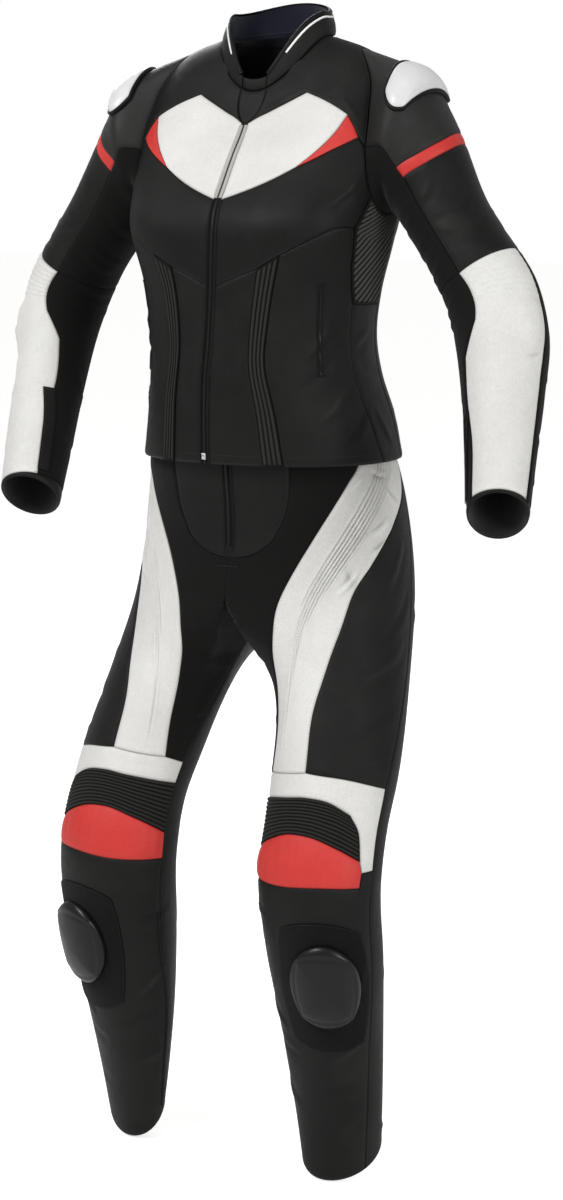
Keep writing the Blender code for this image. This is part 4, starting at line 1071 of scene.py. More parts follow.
def cellDistance(tree, vector, scale, feature="DISTANCE_TO_EDGE"):
    inputs = {"Vector": vector, "Scale": scale}
    return put(tree, "ShaderNodeTexVoronoi", inputs, feature=feature).outputs["Distance"]


def objectPlace(tree):
    return put(tree, "ShaderNodeTexCoord").outputs["Object"]


def ownValue(tree, name):
    return put(tree, "ShaderNodeAttribute", attribute_name=name).outputs["Fac"]


def mapRange(tree, value, low, high, toLow=0.0, toHigh=1.0):
    inputs = {"Value": value, "From Min": low, "From Max": high, "To Min": toLow, "To Max": toHigh}
    return put(tree, "ShaderNodeMapRange", inputs, interpolation_type="SMOOTHSTEP").outputs["Result"]


def mixColour(tree, share, a, b):
    node = put(tree, "ShaderNodeMix", data_type="RGBA", blend_type="MIX")
    for index, value in ((0, share), (6, a), (7, b)):
        if isinstance(value, bpy.types.NodeSocket):
            tree.links.new(value, node.inputs[index])
        else:
            node.inputs[index].default_value = value if index == 0 else (*value[:3], 1.0)
    return node.outputs[2]


pebbles = dict(
    wander=260.0, bend=0.0011, gap=0.26, smallTimes=2.3, smallGap=0.2, patches=38.0, shallow=0.65, deep=1.1,
    height=0.62, smallHeight=0.26, poreHeight=0.16, toneScale=9.0, fineScale=90.0, tone=0.7,
)


def buildGrain():
    # pebbled leather: cells of two sizes with fine pores, in cells a metre
    inputs = {"Scale": 1100.0, "Pore Scale": 5200.0, "Pebble Depth": 1.0, "Drift": 0.3}
    tree, given, out = newGroup("leatherGrain", inputs, ("Height", "Valley", "Tone"))
    place = objectPlace(tree)
    bent = vectorMath(tree, "SUBTRACT", noise(tree, place, pebbles["wander"], output="Color"), (0.5, 0.5, 0.5))
    bent = vectorMath(tree, "ADD", place, vectorMath(tree, "MULTIPLY", bent, (pebbles["bend"],) * 3))
    pebble = mapRange(tree, cellDistance(tree, bent, given["Scale"]), 0.0, pebbles["gap"])
    smallScale = times(tree, given["Scale"], pebbles["smallTimes"])
    small = mapRange(tree, cellDistance(tree, bent, smallScale), 0.0, pebbles["smallGap"])
    broad = noise(tree, place, pebbles["patches"], 3.0)
    depth = mapRange(tree, broad, 0.3, 0.7, pebbles["shallow"], pebbles["deep"])
    height = plus(tree, times(tree, pebble, pebbles["height"]), times(tree, small, pebbles["smallHeight"]))
    height = times(tree, times(tree, height, depth), given["Pebble Depth"])
    pores = noise(tree, place, given["Pore Scale"], 1.0)
    tree.links.new(plus(tree, height, times(tree, pores, pebbles["poreHeight"])), out["Height"])
    tree.links.new(math(tree, "SUBTRACT", 1.0, pebble), out["Valley"])
    tone = mapRange(tree, noise(tree, place, pebbles["toneScale"], 4.0), 0.3, 0.72)
    fine = mapRange(tree, noise(tree, place, pebbles["fineScale"]), 0.3, 0.7)
    tone = plus(tree, times(tree, tone, pebbles["tone"]), times(tree, fine, given["Drift"]))
    tree.links.new(tone, out["Tone"])
    return tree


# creases in mm: where rubbing begins and is full on ridges, which are worn paler with a painted highlight, and
# where troughs begin and are full, which get painted shade
rubAndShadeRanges = dict(patches=150.0, patchRange=(0.42, 0.62), ridge=(0.5, 1.9), trough=(-0.4, -1.6), seamLine=0.1)


def buildSeamShadeAndRub():
    # where a seam rolls in and where creases rub: masks from the sewn piece's own measures, in mm; they paint
    # shade along seams and in crease troughs, and mark ridges worn paler with a painted highlight
    tree, given, out = newGroup("seamWear", {"Reach": 2.2, "Breakup": 0.6}, ("Edge", "Rub", "Trough"))
    fold = ownValue(tree, "fold")
    patchy = mapRange(tree, noise(tree, objectPlace(tree), rubAndShadeRanges["patches"], 3.0), *rubAndShadeRanges["patchRange"])
    unbroken = math(tree, "SUBTRACT", 1.0, times(tree, given["Breakup"], patchy))
    edge = mapRange(tree, ownValue(tree, "fromSeam"), given["Reach"], rubAndShadeRanges["seamLine"])
    tree.links.new(edge, out["Edge"])
    tree.links.new(times(tree, mapRange(tree, fold, *rubAndShadeRanges["ridge"]), unbroken), out["Rub"])
    tree.links.new(mapRange(tree, fold, *rubAndShadeRanges["trough"]), out["Trough"])
    return tree


yarn = dict(halfTurn=3.14159, roundness=0.6, over=0.6, under=0.4, fuzzScale=2600.0, fuzz=0.3)


def buildWeave():
    # crossing yarns in the cloth's own metres: bumps, and where the yarns dive
    tree, given, out = newGroup("yarnWeave", {"Yarns": 1500.0, "Slant": 0.5}, ("Height", "Gap", "Fuzz"))
    flat = put(tree, "ShaderNodeUVMap", uv_map="cloth").outputs["UV"]
    parts = put(tree, "ShaderNodeSeparateXYZ", {0: flat}).outputs
    acrossYarn, alongYarn = times(tree, parts[0], given["Yarns"]), times(tree, parts[1], given["Yarns"])

    def crest(place):
        return math(tree, "ABSOLUTE", math(tree, "SINE", times(tree, place, yarn["halfTurn"])))

    leaning = crest(plus(tree, acrossYarn, times(tree, alongYarn, given["Slant"])))
    leaning = math(tree, "POWER", leaning, yarn["roundness"])
    height = times(tree, leaning, plus(tree, times(tree, crest(alongYarn), yarn["over"]), yarn["under"]))
    fuzz = noise(tree, objectPlace(tree), yarn["fuzzScale"])
    tree.links.new(plus(tree, height, times(tree, fuzz, yarn["fuzz"])), out["Height"])
    tree.links.new(math(tree, "SUBTRACT", 1.0, height, True), out["Gap"])
    tree.links.new(fuzz, out["Fuzz"])
    return tree


def buildHaze():
    # a faint haze that lies in patches
    tree, given, out = newGroup("softHaze", {"Scale": 14.0, "Amount": 0.2}, ("Mask",))
    broad = mapRange(tree, noise(tree, objectPlace(tree), given["Scale"], 5.0), 0.45, 0.72)
    tree.links.new(times(tree, broad, given["Amount"]), out["Mask"])
    return tree


groups = dict(grain=buildGrain(), wear=buildSeamShadeAndRub(), weave=buildWeave(), haze=buildHaze())


def useGroup(tree, name, **inputs):
    node = tree.nodes.new("ShaderNodeGroup")
    node.node_tree = groups[name]
    for key, value in inputs.items():
        node.inputs[key.replace("_", " ")].default_value = value
    return node.outputs


def newMaterial(name, roughness, **shaderValues):
    made = bpy.data.materials.new(name)
    made.use_nodes = True
    tree = made.node_tree
    shader = tree.nodes["Principled BSDF"]
    shader.inputs["Roughness"].default_value = roughness
    for key, value in shaderValues.items():
        shader.inputs[key.replace("_", " ")].default_value = value
    return made, tree, shader


def finish(tree, shader, colour, rough, height, strength, distance):
    # gives the shader its colour, its roughness and the bumps of a height
    bump = put(tree, "ShaderNodeBump", {"Height": height, "Strength": strength, "Distance": distance})
    for name, socket in (("Base Color", colour), ("Roughness", rough), ("Normal", bump.outputs["Normal"])):
        tree.links.new(socket, shader.inputs[name])


def drifting(tree, value, middle, less, more, low=0.3, high=0.7):
    # a roughness that drifts about its middle with a mask
    return mapRange(tree, value, low, high, middle - less, middle + more)


# the valley, trough and edge weights paint shade into grain valleys, crease troughs and seams
hide = dict(valley=0.45, trough=0.5, edge=0.75, rubShine=0.10, valleyDull=0.10, bump=0.55, depth=0.00022)


def leather(name, dark, light, wornAndSheen, edge, grain=1.0, roughness=0.44, rubbed=0.5, gloss=0.4):
    made, tree, shader = newMaterial(name, roughness, Sheen_Roughness=0.5, Specular_IOR_Level=gloss)
    skin = useGroup(tree, "grain", Scale=1100.0, Pebble_Depth=1.0)
    wear = useGroup(tree, "wear", Reach=2.0, Breakup=0.6)
    haze = useGroup(tree, "haze", Scale=11.0, Amount=0.16)
    colour = mixColour(tree, skin["Tone"], dark, light)
    # painted shade: grain valleys, crease troughs and seam edges are darkened towards the edge tone; crease
    # ridges are worn paler, partly a painted highlight
    layers = (
        (skin["Valley"], hide["valley"], edge), (wear["Rub"], rubbed, wornAndSheen),
        (wear["Trough"], hide["trough"], edge), (wear["Edge"], hide["edge"], edge),
    )
    for mask, most, tone in layers:
        colour = mixColour(tree, times(tree, mask, most), colour, tone)
    colour = mixColour(tree, haze["Mask"], colour, wornAndSheen)
    rough = drifting(tree, skin["Tone"], roughness, 0.05, 0.07, 0.0, 1.0)
    rough = math(tree, "SUBTRACT", rough, times(tree, wear["Rub"], hide["rubShine"]))
    rough = plus(tree, rough, times(tree, skin["Valley"], hide["valleyDull"]))
    finish(tree, shader, colour, rough, skin["Height"], hide["bump"], hide["depth"] * grain)
    return made


# the crest values set the painted highlight on rib crests, and edge the painted shade along seams
woven = dict(roughness=0.85, drift=0.06, crest=(1.0, 1.9), crestPaler=8, edge=0.6, bump=0.6, depth=0.00025)


def wovenCloth(name, dark, light, yarns=1500.0, slant=0.5, ribShine=0.45):
    shine = dict(Sheen_Weight=0.05, Sheen_Roughness=0.4, Specular_IOR_Level=0.15)
    made, tree, shader = newMaterial(name, woven["roughness"], **shine)
    weave = useGroup(tree, "weave", Yarns=yarns, Slant=slant)
    wear = useGroup(tree, "wear", Reach=1.6, Breakup=0.4)
    haze = useGroup(tree, "haze", Scale=16.0, Amount=0.25)
    colour = mixColour(tree, haze["Mask"], mixColour(tree, weave["Gap"], light, dark), light)
    # painted highlight: the crests of sewn ribs are painted paler
    crest = times(tree, mapRange(tree, ownValue(tree, "raised"), *woven["crest"]), ribShine)
    colour = mixColour(tree, crest, colour, tuple(woven["crestPaler"] * part for part in light))
    # painted shade along the seams
    colour = mixColour(tree, times(tree, wear["Edge"], woven["edge"]), colour, dark)
    rough = drifting(tree, weave["Fuzz"], woven["roughness"], woven["drift"], woven["drift"])
    finish(tree, shader, colour, rough, weave["Height"], woven["bump"], woven["depth"])
    return made


shell = dict(scratch=(900.0, 260.0, 60.0), scratchRange=(0.60, 0.74), stipple=2400.0, bump=0.3, depth=0.00008)


def hardShell(name, dark, light, roughness, coat, scratches=0.3):
    shine = dict(Coat_Weight=coat, Coat_Roughness=0.25, Specular_IOR_Level=0.3)
    made, tree, shader = newMaterial(name, roughness, **shine)
    where = objectPlace(tree)
    haze = useGroup(tree, "haze", Scale=40.0, Amount=0.5)
    lines = noise(tree, vectorMath(tree, "MULTIPLY", where, shell["scratch"]), 1.0, 3.0)
    lines = times(tree, mapRange(tree, lines, *shell["scratchRange"]), scratches)
    colour = mixColour(tree, lines, mixColour(tree, haze["Mask"], dark, light), light)
    stipple = noise(tree, where, shell["stipple"], 1.0)
    rough = plus(tree, drifting(tree, stipple, roughness, 0.03, 0.05), lines)
    finish(tree, shader, colour, rough, stipple, shell["bump"], shell["depth"])
    return made


loops = dict(scale=1300.0, reach=(0.1, 0.8), strandScale=3200.0, strands=0.7, edge=0.7, bump=0.8, depth=0.0005)


def pile(name, dark, light):
    # the soft loop side of hook and loop tape
    shine = dict(Sheen_Weight=0.06, Sheen_Roughness=0.5, Specular_IOR_Level=0.10)
    made, tree, shader = newMaterial(name, 0.95, **shine)
    where = objectPlace(tree)
    strands = noise(tree, where, loops["strandScale"], 3.0)
    wear = useGroup(tree, "wear", Reach=2.4, Breakup=0.5)
    haze = useGroup(tree, "haze", Scale=30.0, Amount=0.5)
    tuft = mapRange(tree, cellDistance(tree, where, loops["scale"], "SMOOTH_F1"), *loops["reach"])
    colour = mixColour(tree, haze["Mask"], mixColour(tree, tuft, light, dark), light)
    # painted shade along the seams
    colour = mixColour(tree, times(tree, wear["Edge"], loops["edge"]), colour, dark)
    height = plus(tree, math(tree, "SUBTRACT", 1.0, tuft), times(tree, strands, loops["strands"]))
    rough = mapRange(tree, strands, 0.3, 0.7, 0.88, 0.98)
    finish(tree, shader, colour, rough, height, loops["bump"], loops["depth"])
    return made


knit = dict(holeYarns=420.0, fineYarns=2400.0, holeRange=(0.75, 1.0), fine=0.3, bump=0.7, depth=0.0005)


def meshLining(name, thread, hole):
    # a warp-knit mesh: rows of small round holes in the cloth's own metres
    made, tree, shader = newMaterial(name, 0.9, Sheen_Weight=0.2, Specular_IOR_Level=0.2)
    weave = useGroup(tree, "weave", Yarns=knit["holeYarns"], Slant=0.5)
    fine = useGroup(tree, "weave", Yarns=knit["fineYarns"], Slant=0.0)
    holes = mapRange(tree, weave["Height"], *knit["holeRange"])
    colour = mixColour(tree, holes, mixColour(tree, fine["Gap"], thread, hole), hole)
    height = math(tree, "SUBTRACT", times(tree, fine["Height"], knit["fine"]), holes)
    rough = mapRange(tree, fine["Fuzz"], 0.3, 0.7, 0.84, 0.96)
    finish(tree, shader, colour, rough, height, knit["bump"], knit["depth"])
    return made


fibres = dict(broadScale=300.0, darker=0.35, drift=0.08, bump=0.4, depth=0.0001)


def spun(name, dark, light, roughness=0.55, metallic=0.0, sheen=0.0, scale=5000.0):
    # thread, piping and small metal parts
    made, tree, shader = newMaterial(name, roughness, Metallic=metallic, Sheen_Weight=sheen)
    where = objectPlace(tree)
    fibre, broad = noise(tree, where, scale), noise(tree, where, fibres["broadScale"])
    colour = mixColour(tree, mapRange(tree, fibre, 0.35, 0.65), dark, light)
    colour = mixColour(tree, mapRange(tree, broad, 0.5, 0.8, 0.0, fibres["darker"]), colour, dark)
    rough = drifting(tree, broad, roughness, fibres["drift"], fibres["drift"])
    finish(tree, shader, colour, rough, fibre, fibres["bump"], fibres["depth"])
    return made


# each look's maker, its tones from dark to light (leather adds a worn tone, which also paints the highlight on
# crease ridges, and a painted shade tone for grain valleys, crease troughs and seams) and its other values
recipes = dict(
    blackLeather=(
        leather, (0.0040, 0.0041, 0.0036), (0.0078, 0.0080, 0.0072), (0.026, 0.026, 0.024),
        (0.0012, 0.0012, 0.0012), dict(roughness=0.40, gloss=0.17),
    ),
    # the black leather again, paler: a painted highlight on the shoulder panels
    shoulderLeather=(
        leather, (0.0125, 0.0128, 0.0118), (0.0205, 0.0208, 0.0196), (0.042, 0.042, 0.040),
        (0.0030, 0.0030, 0.0029), dict(roughness=0.42, gloss=0.24),
    ),
    whiteLeather=(
        leather, (0.71, 0.705, 0.68), (0.78, 0.775, 0.75), (0.84, 0.84, 0.82), (0.27, 0.26, 0.24),
        dict(grain=0.9, rubbed=0.3),
    ),
    redLeather=(
        leather, (0.60, 0.024, 0.019), (0.68, 0.034, 0.027), (0.76, 0.075, 0.060), (0.16, 0.007, 0.006),
        dict(grain=0.7, rubbed=0.3),
    ),
    stretchCloth=(wovenCloth, (0.0014, 0.0014, 0.0013), (0.0058, 0.0058, 0.0053), {}),
    # the stretch cloth again, with a paler yarn tone and the full painted highlight on its rib crests
    accordionCloth=(wovenCloth, (0.0014, 0.0014, 0.0013), (0.0078, 0.0078, 0.0072), dict(ribShine=1.0)),
    hardWhite=(
        hardShell, (0.62, 0.62, 0.62), (0.70, 0.70, 0.695), dict(roughness=0.34, coat=0.15, scratches=0.15),
    ),
    hardBlack=(hardShell, (0.0020, 0.0020, 0.0020), (0.0052, 0.0052, 0.0051), dict(roughness=0.33, coat=0.04)),
    velcroPile=(pile, (0.0012, 0.0012, 0.0012), (0.0062, 0.0062, 0.0060), {}),
    liningMesh=(meshLining, (0.010, 0.010, 0.011), (0.002, 0.002, 0.002), {}),
    collarLining=(meshLining, (0.0085, 0.0110, 0.0290), (0.003, 0.004, 0.011), {}),
    zipTape=(wovenCloth, (0.0015,) * 3, (0.007,) * 3, dict(yarns=2200.0, slant=0.0, ribShine=0.0)),
    zipTeeth=(spun, (0.010, 0.010, 0.010), (0.026, 0.026, 0.026), dict(roughness=0.35, metallic=0.3)),
    brightMetal=(spun, (0.45, 0.45, 0.44), (0.72, 0.72, 0.70), dict(roughness=0.28, metallic=1.0)),
    blackThread=(spun, (0.006, 0.006, 0.006), (0.020, 0.020, 0.019), dict(sheen=0.05)),
    paleThread=(spun, (0.22, 0.22, 0.21), (0.40, 0.40, 0.385), dict(sheen=0.05)),
    reflectivePiping=(
        spun, (0.72, 0.72, 0.71), (0.90, 0.90, 0.89), dict(roughness=0.4, scale=900.0, sheen=0.2),
    ),
)
looks = {name: make(name, *tones, **more) for name, (make, *tones, more) in recipes.items()}
slots = dict(
    blackLeather="black_leather", shoulderLeather="black_leather", whiteLeather="white_leather",
    redLeather="red_leather", stretchCloth="stretch_cloth", accordionCloth="stretch_cloth",
    zipTape="stretch_cloth", velcroPile="velcro", hardWhite="hard_white", hardBlack="hard_black",
    zipTeeth="zip_metal", brightMetal="zip_metal", blackThread="black_leather", paleThread="white_leather",
    reflectivePiping="white_leather",
)
print("materials made:", len(looks))


# the jacket
jacket = dict(
    insertRibs=4, insertRib=0.0021, accordionRib=0.0022, ribPitch=0.0078, ribClimb=0.72, ribFade=0.005,
    hemRow=0.012,
)


def makeJacketHalf(letter, side):
    def sew(name, places, look="blackLeather", **more):
        return sewPanel(f"{name}_{letter}", "body", places if side > 0 else mirrored(places), look, **more)

    def slopingRibs(places, fromEdge, across, along):
        # the ribs climb towards the back
        wave = ribWave(np.pi * (along - jacket["ribClimb"] * across) / jacket["ribPitch"])
        return jacket["accordionRib"] * wave * np.clip(fromEdge / jacket["ribFade"], 0, 1)

    hemRow, insertIn, insertOut = jacket["hemRow"], seam("insertIn", 7), seam("insertOut", 7)
    sew("front_panel", strip(seam("zipLower", 7), insertIn, 12), stitched="left right low", hemRow=hemRow)
    ribs = ribRelief(1, jacket["insertRibs"], jacket["insertRib"])
    sew("princess_insert", strip(insertIn, insertOut, 32), "stretchCloth", relief=ribs, dip=False)
    low, high = trace(30, (30.0, hem), (84.0, hem)), seam("underBust", 5, 2)
    sideFront = patch(low, high, insertOut, seam("sideSeam", 7))
    sew("side_front", sideFront, stitched="left high low right", hemRow=hemRow)
    sideBack = strip(seam("sideSeam", 8, 0, 1), seam("backLow", 8), 16)
    sew("side_back", sideBack, stitched="left low", hemRow=hemRow)
    low, high = trace(48, (74.6, -0.3017), (106.0, -0.3045)), arc(48, 140, 220)
    sew("side_stretch", patch(low, high, seam("accordionFront", 7), seam("accordionBack", 7)), "accordionCloth",
        relief=slopingRibs, dip=False)
    right = chain(seam("underarmFront", 4), arc(12, 140, 95))
    high = chain(seam("chestLow", 4), seam("wedgeLow", 4), seam("wedgeSide", 4), seam("yokeEnd", 4))
    bustPanel = patch(seam("underBust", 4), high, seam("bustMiddle", 4), right)
    sew("bust_panel", bustPanel, stitched="low left right")
    chest = patch(seam("chestLow", 4), seam("chestTop", 4), seam("chestMiddle", 10), seam("chestSide", 10))
    sew("chest_panel", chest, "whiteLeather", stitched="low high left")
    wedge = patch(seam("wedgeLow", 6), seam("wedgeTop", 6), seam("chestSide", 4), seam("wedgeSide", 4))
    sew("chest_wedge", wedge, "redLeather")
    low = chain(seam("chestTop", 5), seam("wedgeTop", 5), seam("yokeEnd", 5))
    right = chain(arc(30, 95, 0), seam("shoulderLine", 10))
    sew("front_yoke", patch(low, seam("neckFront", 5), seam("flapEdge", 40), right), stitched="low high right")


for letter, side in sides:
    makeJacketHalf(letter, side)
backEdge = chain(seam("backLow", 6), seam("backHigh", 6), arc(18, 220, 270))
lowerBack = patch(trace(64, (108.0, hem), (252.0, hem)), seam("backLine", 8), backEdge, mirrorEdge(backEdge))
yokeEdge = chain(arc(24, 270, 360), seam("shoulderLine", 4))
upperBack = patch(seam("backLine", 8), seam("neckBack", 8), yokeEdge, mirrorEdge(yokeEdge))
wholeBack = chain(lowerBack, upperBack)
sewPanel("back_panel", "body", wholeBack, stitched="left right low high", hemRow=jacket["hemRow"])
print("jacket body sewn")

# the sleeves
sleeves = dict(
    stripeRise=dict(l=0.0, r=-0.024), elbowRibs=8, elbowRib=0.0013, ribsFrom=0.441, ribsTo=0.548, ribFade=0.006,
    cuffTurn=60.0, cuffLeast=0.008, cuffMost=0.034, elbowCup=0.0050, cupTurn=14.0, cupHalfTurn=30.0,
    cupLevel=0.606, cupHalfLevel=0.044, cupSoftness=0.13, cupFade=0.014,
)


def elbowRelief(places, fromEdge, across, along):
    share = (places[..., 1] - sleeves["ribsFrom"]) / (sleeves["ribsTo"] - sleeves["ribsFrom"])
    near = np.clip(np.minimum(across, across[:, -1:] - across) / sleeves["ribFade"], 0, 1)
    ribs = sleeves["elbowRib"] * ribWave(np.pi * np.clip(share, 0, 1) * sleeves["elbowRibs"]) * near
    # the hard cup under the leather stands out round the elbow
    turnAway = (places[..., 0] - sleeves["cupTurn"]) / sleeves["cupHalfTurn"]
    levelAway = (places[..., 1] - sleeves["cupLevel"]) / sleeves["cupHalfLevel"]
    away = np.sqrt(turnAway**2 + levelAway**2)
    cupEdge = 1 / (1 + np.exp((away - 1.0) / sleeves["cupSoftness"]))
    return ribs + sleeves["elbowCup"] * cupEdge * np.clip(fromEdge / sleeves["cupFade"], 0, 1)


def makeSleeve(letter):
    def sew(name, places, look="blackLeather", **more):
        return sewPanel(f"{name}_{letter}", "sleeve_" + letter, places, look, **more)

    def between(count, start, end):
        return trace(count, tuple(start), tuple(end))

    rise = (0, sleeves["stripeRise"][letter])
    high, low = seam("stripeHigh", 4) + rise, seam("stripeLow", 4) + rise
    turns = chain(np.linspace(-90, 0, 25), np.linspace(0, 95, 25))
    back, front = between(27, (-90.0, 0.0), high[0]), between(27, (95.0, 0.0), high[-1])
    shoulder = patch(allPlaces(turns, 0.0), high, back, front)
    sew("shoulder_panel", shoulder, "shoulderLeather", stitched="low high")
    back, front = between(5, high[0], low[0]), between(5, high[-1], low[-1])
    sew("arm_stripe", patch(high, low, back, front), "redLeather")
    back, front = between(26, low[0], (-90.0, 0.435)), between(26, low[-1], (95.0, 0.452))
    sew("upper_arm", patch(low, seam("elbow", 4), back, front), stitched="low high left right")
    turns = chain(np.linspace(95, 140, 10), np.linspace(140, 220, 17), np.linspace(220, 270, 12))
    low = allPlaces(turns, np.linspace(0.452, 0.435, len(turns)))
    front, back = between(64, (95.0, 0.0), (95.0, 0.452)), between(64, (270.0, 0.0), (270.0, 0.435))
    sew("sleeve_under", patch(allPlaces(turns, 0.0), low, front, back), "stretchCloth")
    cells = (5, 5, 10)
    grid = patch(seam("elbow", 4, 1), seam("wrist", 4), seam("forearmBack", cells), seam("forearmFront", cells))
    sew("forearm", grid, "whiteLeather", relief=elbowRelief, stitched="left right")
    cells = (2.5, 5, 8)
    top = chain(seam("elbowUnder", 4), seam("elbow", 4, 0, 1) + fullTurn)
    grid = patch(top, seam("wristUnder", 4), seam("forearmFront", cells), seam("forearmBack", cells) + fullTurn)
    sew("forearm_under", grid, "stretchCloth")
    turns = np.linspace(0, 360, 65)[:-1]
    reach = sleeves["cuffMost"] - sleeves["cuffLeast"]
    reach = sleeves["cuffLeast"] + reach * (1 - np.cos(np.radians(turns - sleeves["cuffTurn"]))) / 2
    rows = np.linspace(0, 1, 9)[:, None]
    sew("cuff", allPlaces(turns[None], 1.0 + rows * reach[None]), ring=True, stitched="high")


for letter in "lr":
    makeSleeve(letter)
print("sleeves sewn")

# the trousers
trousers = dict(
    kneeRibs=11, kneeRib=0.0019, kneeRibFade=0.003, patchWall=0.0012, patchTurns=(-29.0, 73.0),
    patchLevels=(1.008, 1.180), patchSquareness=0.62,
)
# sewn lines on the thigh: the share of the width at the top and at the foot, and how far down each goes
channels = (
    (0.30, 0.30, 0.60), (0.36, 0.33, 0.72), (0.42, 0.36, 0.97), (0.48, 0.39, 0.80), (0.54, 0.42, 0.66),
    (0.60, 0.45, 0.55),
)
channel = dict(depth=0.0013, fade=0.06, width=0.0011, puff=0.45, puffAway=0.0032, puffWidth=0.0018, edge=0.004)
capCrown = dict(
    height=0.0026, fullness=0.8, edge=0.012, edgeFullness=0.6, wave=0.00035, waves=420.0, sway=3.0, sways=61.0,
)


def channelRelief(places, fromEdge, across, along):
    # puffed between the sewn lines, which run together down the thigh
    share, down = across / np.maximum(across[:, -1:], 1e-6), along / along[-1:]
    height = np.zeros_like(share)
    for top, foot, end in channels:
        apart = (share - top - (foot - top) * down) * across[:, -1:]
        fade = np.clip((end - down) / channel["fade"], 0, 1)
        height = height - channel["depth"] * fade * np.exp(-((apart / channel["width"]) ** 2))
        puffed = np.exp(-((np.abs(apart) - channel["puffAway"]) / channel["puffWidth"]) ** 2)
        height = height + channel["puff"] * channel["depth"] * fade * puffed
    return height * np.clip(fromEdge / channel["edge"], 0, 1)


def capRelief(places, fromEdge, across, along):
    s = along / np.maximum(along[-1:], 1e-6)
    end = np.clip(np.minimum(across, across[:, -1:] - across) / capCrown["edge"], 0, 1)
    end = end ** capCrown["edgeFullness"]
    wave = np.sin(across * capCrown["waves"] + capCrown["sway"] * np.sin(across * capCrown["sways"]))
    wave = wave * capCrown["wave"] * np.sin(np.pi * s)
    return (capCrown["height"] * np.sin(np.pi * s) ** capCrown["fullness"] + wave) * end


def roundedPatch():
    s, t = np.meshgrid(np.linspace(-1, 1, 45), np.linspace(-1, 1, 51))
    places = []
    for (low, high), a, b in ((trousers["patchTurns"], s, t), (trousers["patchLevels"], t, s)):
        rounding = np.sqrt(1 - trousers["patchSquareness"] * b * b / 2)
        places.append((low + high) / 2 + (high - low) / 2 * a * rounding)
    return np.stack(places, -1)


def makeLeg(letter, side):
    def sew(name, places, look="blackLeather", **more):
        return sewPanel(f"{name}_{letter}", "leg_" + letter, places, look, clear=side, **more)

    def down(fine, *names):
        return chain(*[seam(name, fine) for name in names])

    left = chain(down(8, "flySide", "flyFoot", "riseFront", "crotchFront"), seam("inseam", 8) - fullTurn)
    sew("front_gusset", strip(left, seam("thighIn", 8), 20), "stretchCloth")
    right = down(7, "hipSide", "thighTop", "thighSide")
    thigh = patch(seam("waistBack", 11), seam("bandFront", 11), seam("thighIn", 7), right)
    sew("thigh_panel", thigh, "whiteLeather", relief=channelRelief, stitched="left right high")
    sewnThigh = sewn["thigh_panel_" + letter]
    for top, foot, end in channels:
        rowsDown = slice(2, int(end * len(sewnThigh["outer"])) - 2)
        line, aims = lineAcross(sewnThigh["outer"], sewnThigh["out"], top, foot)
        stitchAlong(line[rowsDown], aims[rowsDown], "paleThread")
    low = trace(24, (0.0, 0.841), (32.0, 0.845), (81.0, 0.862))
    sew("outer_thigh", patch(seam("thighTop", 6)[::-1], low, seam("thighSide", 8), seam("outerSeam", 8)),
        stitched="left right")
    left = down(3, "bandInside", "bandFront", "bandOutside", "stripOut")
    right = down(3, "ribsTop", "stripIn", "stripEnd")
    sew("knee_band", strip(left, right, 6), "whiteLeather", stitched="right")
    ribs = ribRelief(0, trousers["kneeRibs"], trousers["kneeRib"], trousers["kneeRibFade"])
    sew("knee_ribs", patch(seam("ribsTop", 2), seam("capTop", 4), seam("ribsIn", 5), seam("ribsOut", 5)),
        "stretchCloth", relief=ribs, dip=False)
    cap = patch(seam("capTop", 6), seam("capLow", 6), seam("capIn", 9), down(9, "stripEnd", "capEnd"))
    sew("knee_cap", cap, "redLeather", relief=capRelief)
    top = chain(seam("capLow", 5), trace(5, (64.0, 0.968), (65.5, 0.951)), seam("shinTopEnd", 5))
    sew("shin_panel", patch(top, seam("shinHem", 5), seam("shinIn", 10) - fullTurn, seam("shinOut", 10)),
        stitched="left right high")
    wall = trousers["patchWall"]
    sew("slider_patch", roundedPatch(), "velcroPile", lift=suit["laidGap"] + wall, wall=wall,
        stitched="low high left right")
    left = down(8, "hipSide", "outerSeam", "stripOut", "shinOut")
    sew("leg_back", strip(left, down(8, "riseBack", "crotchBack", "inseam", "kneeIn", "shinIn"), 54),
        stitched="left right high")


for letter, side in sides:
    makeLeg(letter, side)
flyEdge, flyEnd = (seam("flySide", 8) - (mid, 0))[::-1], seam("flyFoot", 6) - (mid, 0)
flyTop = trace(36, (mid + 9.0, waist), (-mid - 9.0, waist))
fly = patch(chain(mirrored(flyEnd), flyEnd[::-1]), flyTop, mirrored(flyEdge), flyEdge)
sewPanel("fly_yoke", "hips", fly, stitched="low left right")
print("trousers sewn")

# the collar and the throat
stand = dict(rows=16, tabTurn=13.6, tabHeight=0.92, tabLift=-0.0004)
foot = chain(seam("neckFront", 4), seam("neckBack", 4), mirrorEdge(seam("neckFront", 4))[::-1])
rows = np.linspace(0, 1, stand["rows"] + 1)[:, None]
sewPanel("collar", "collar", allPlaces(foot[None, :, 0], rows), lining="collarLining", stitched="high low")
flap = seam("flapEdge", 32)
sewPanel("throat_flap", "body", strip(mirrored(flap), flap, 10), stitched="left right")
tabTurns = np.linspace(-stand["tabTurn"], stand["tabTurn"], 17)
tab = allPlaces(tabTurns[None], np.linspace(0, stand["tabHeight"], 9)[:, None])
sewPanel("throatTab", "collar", tab, inFrame=False, stitched="high", lift=stand["tabLift"])

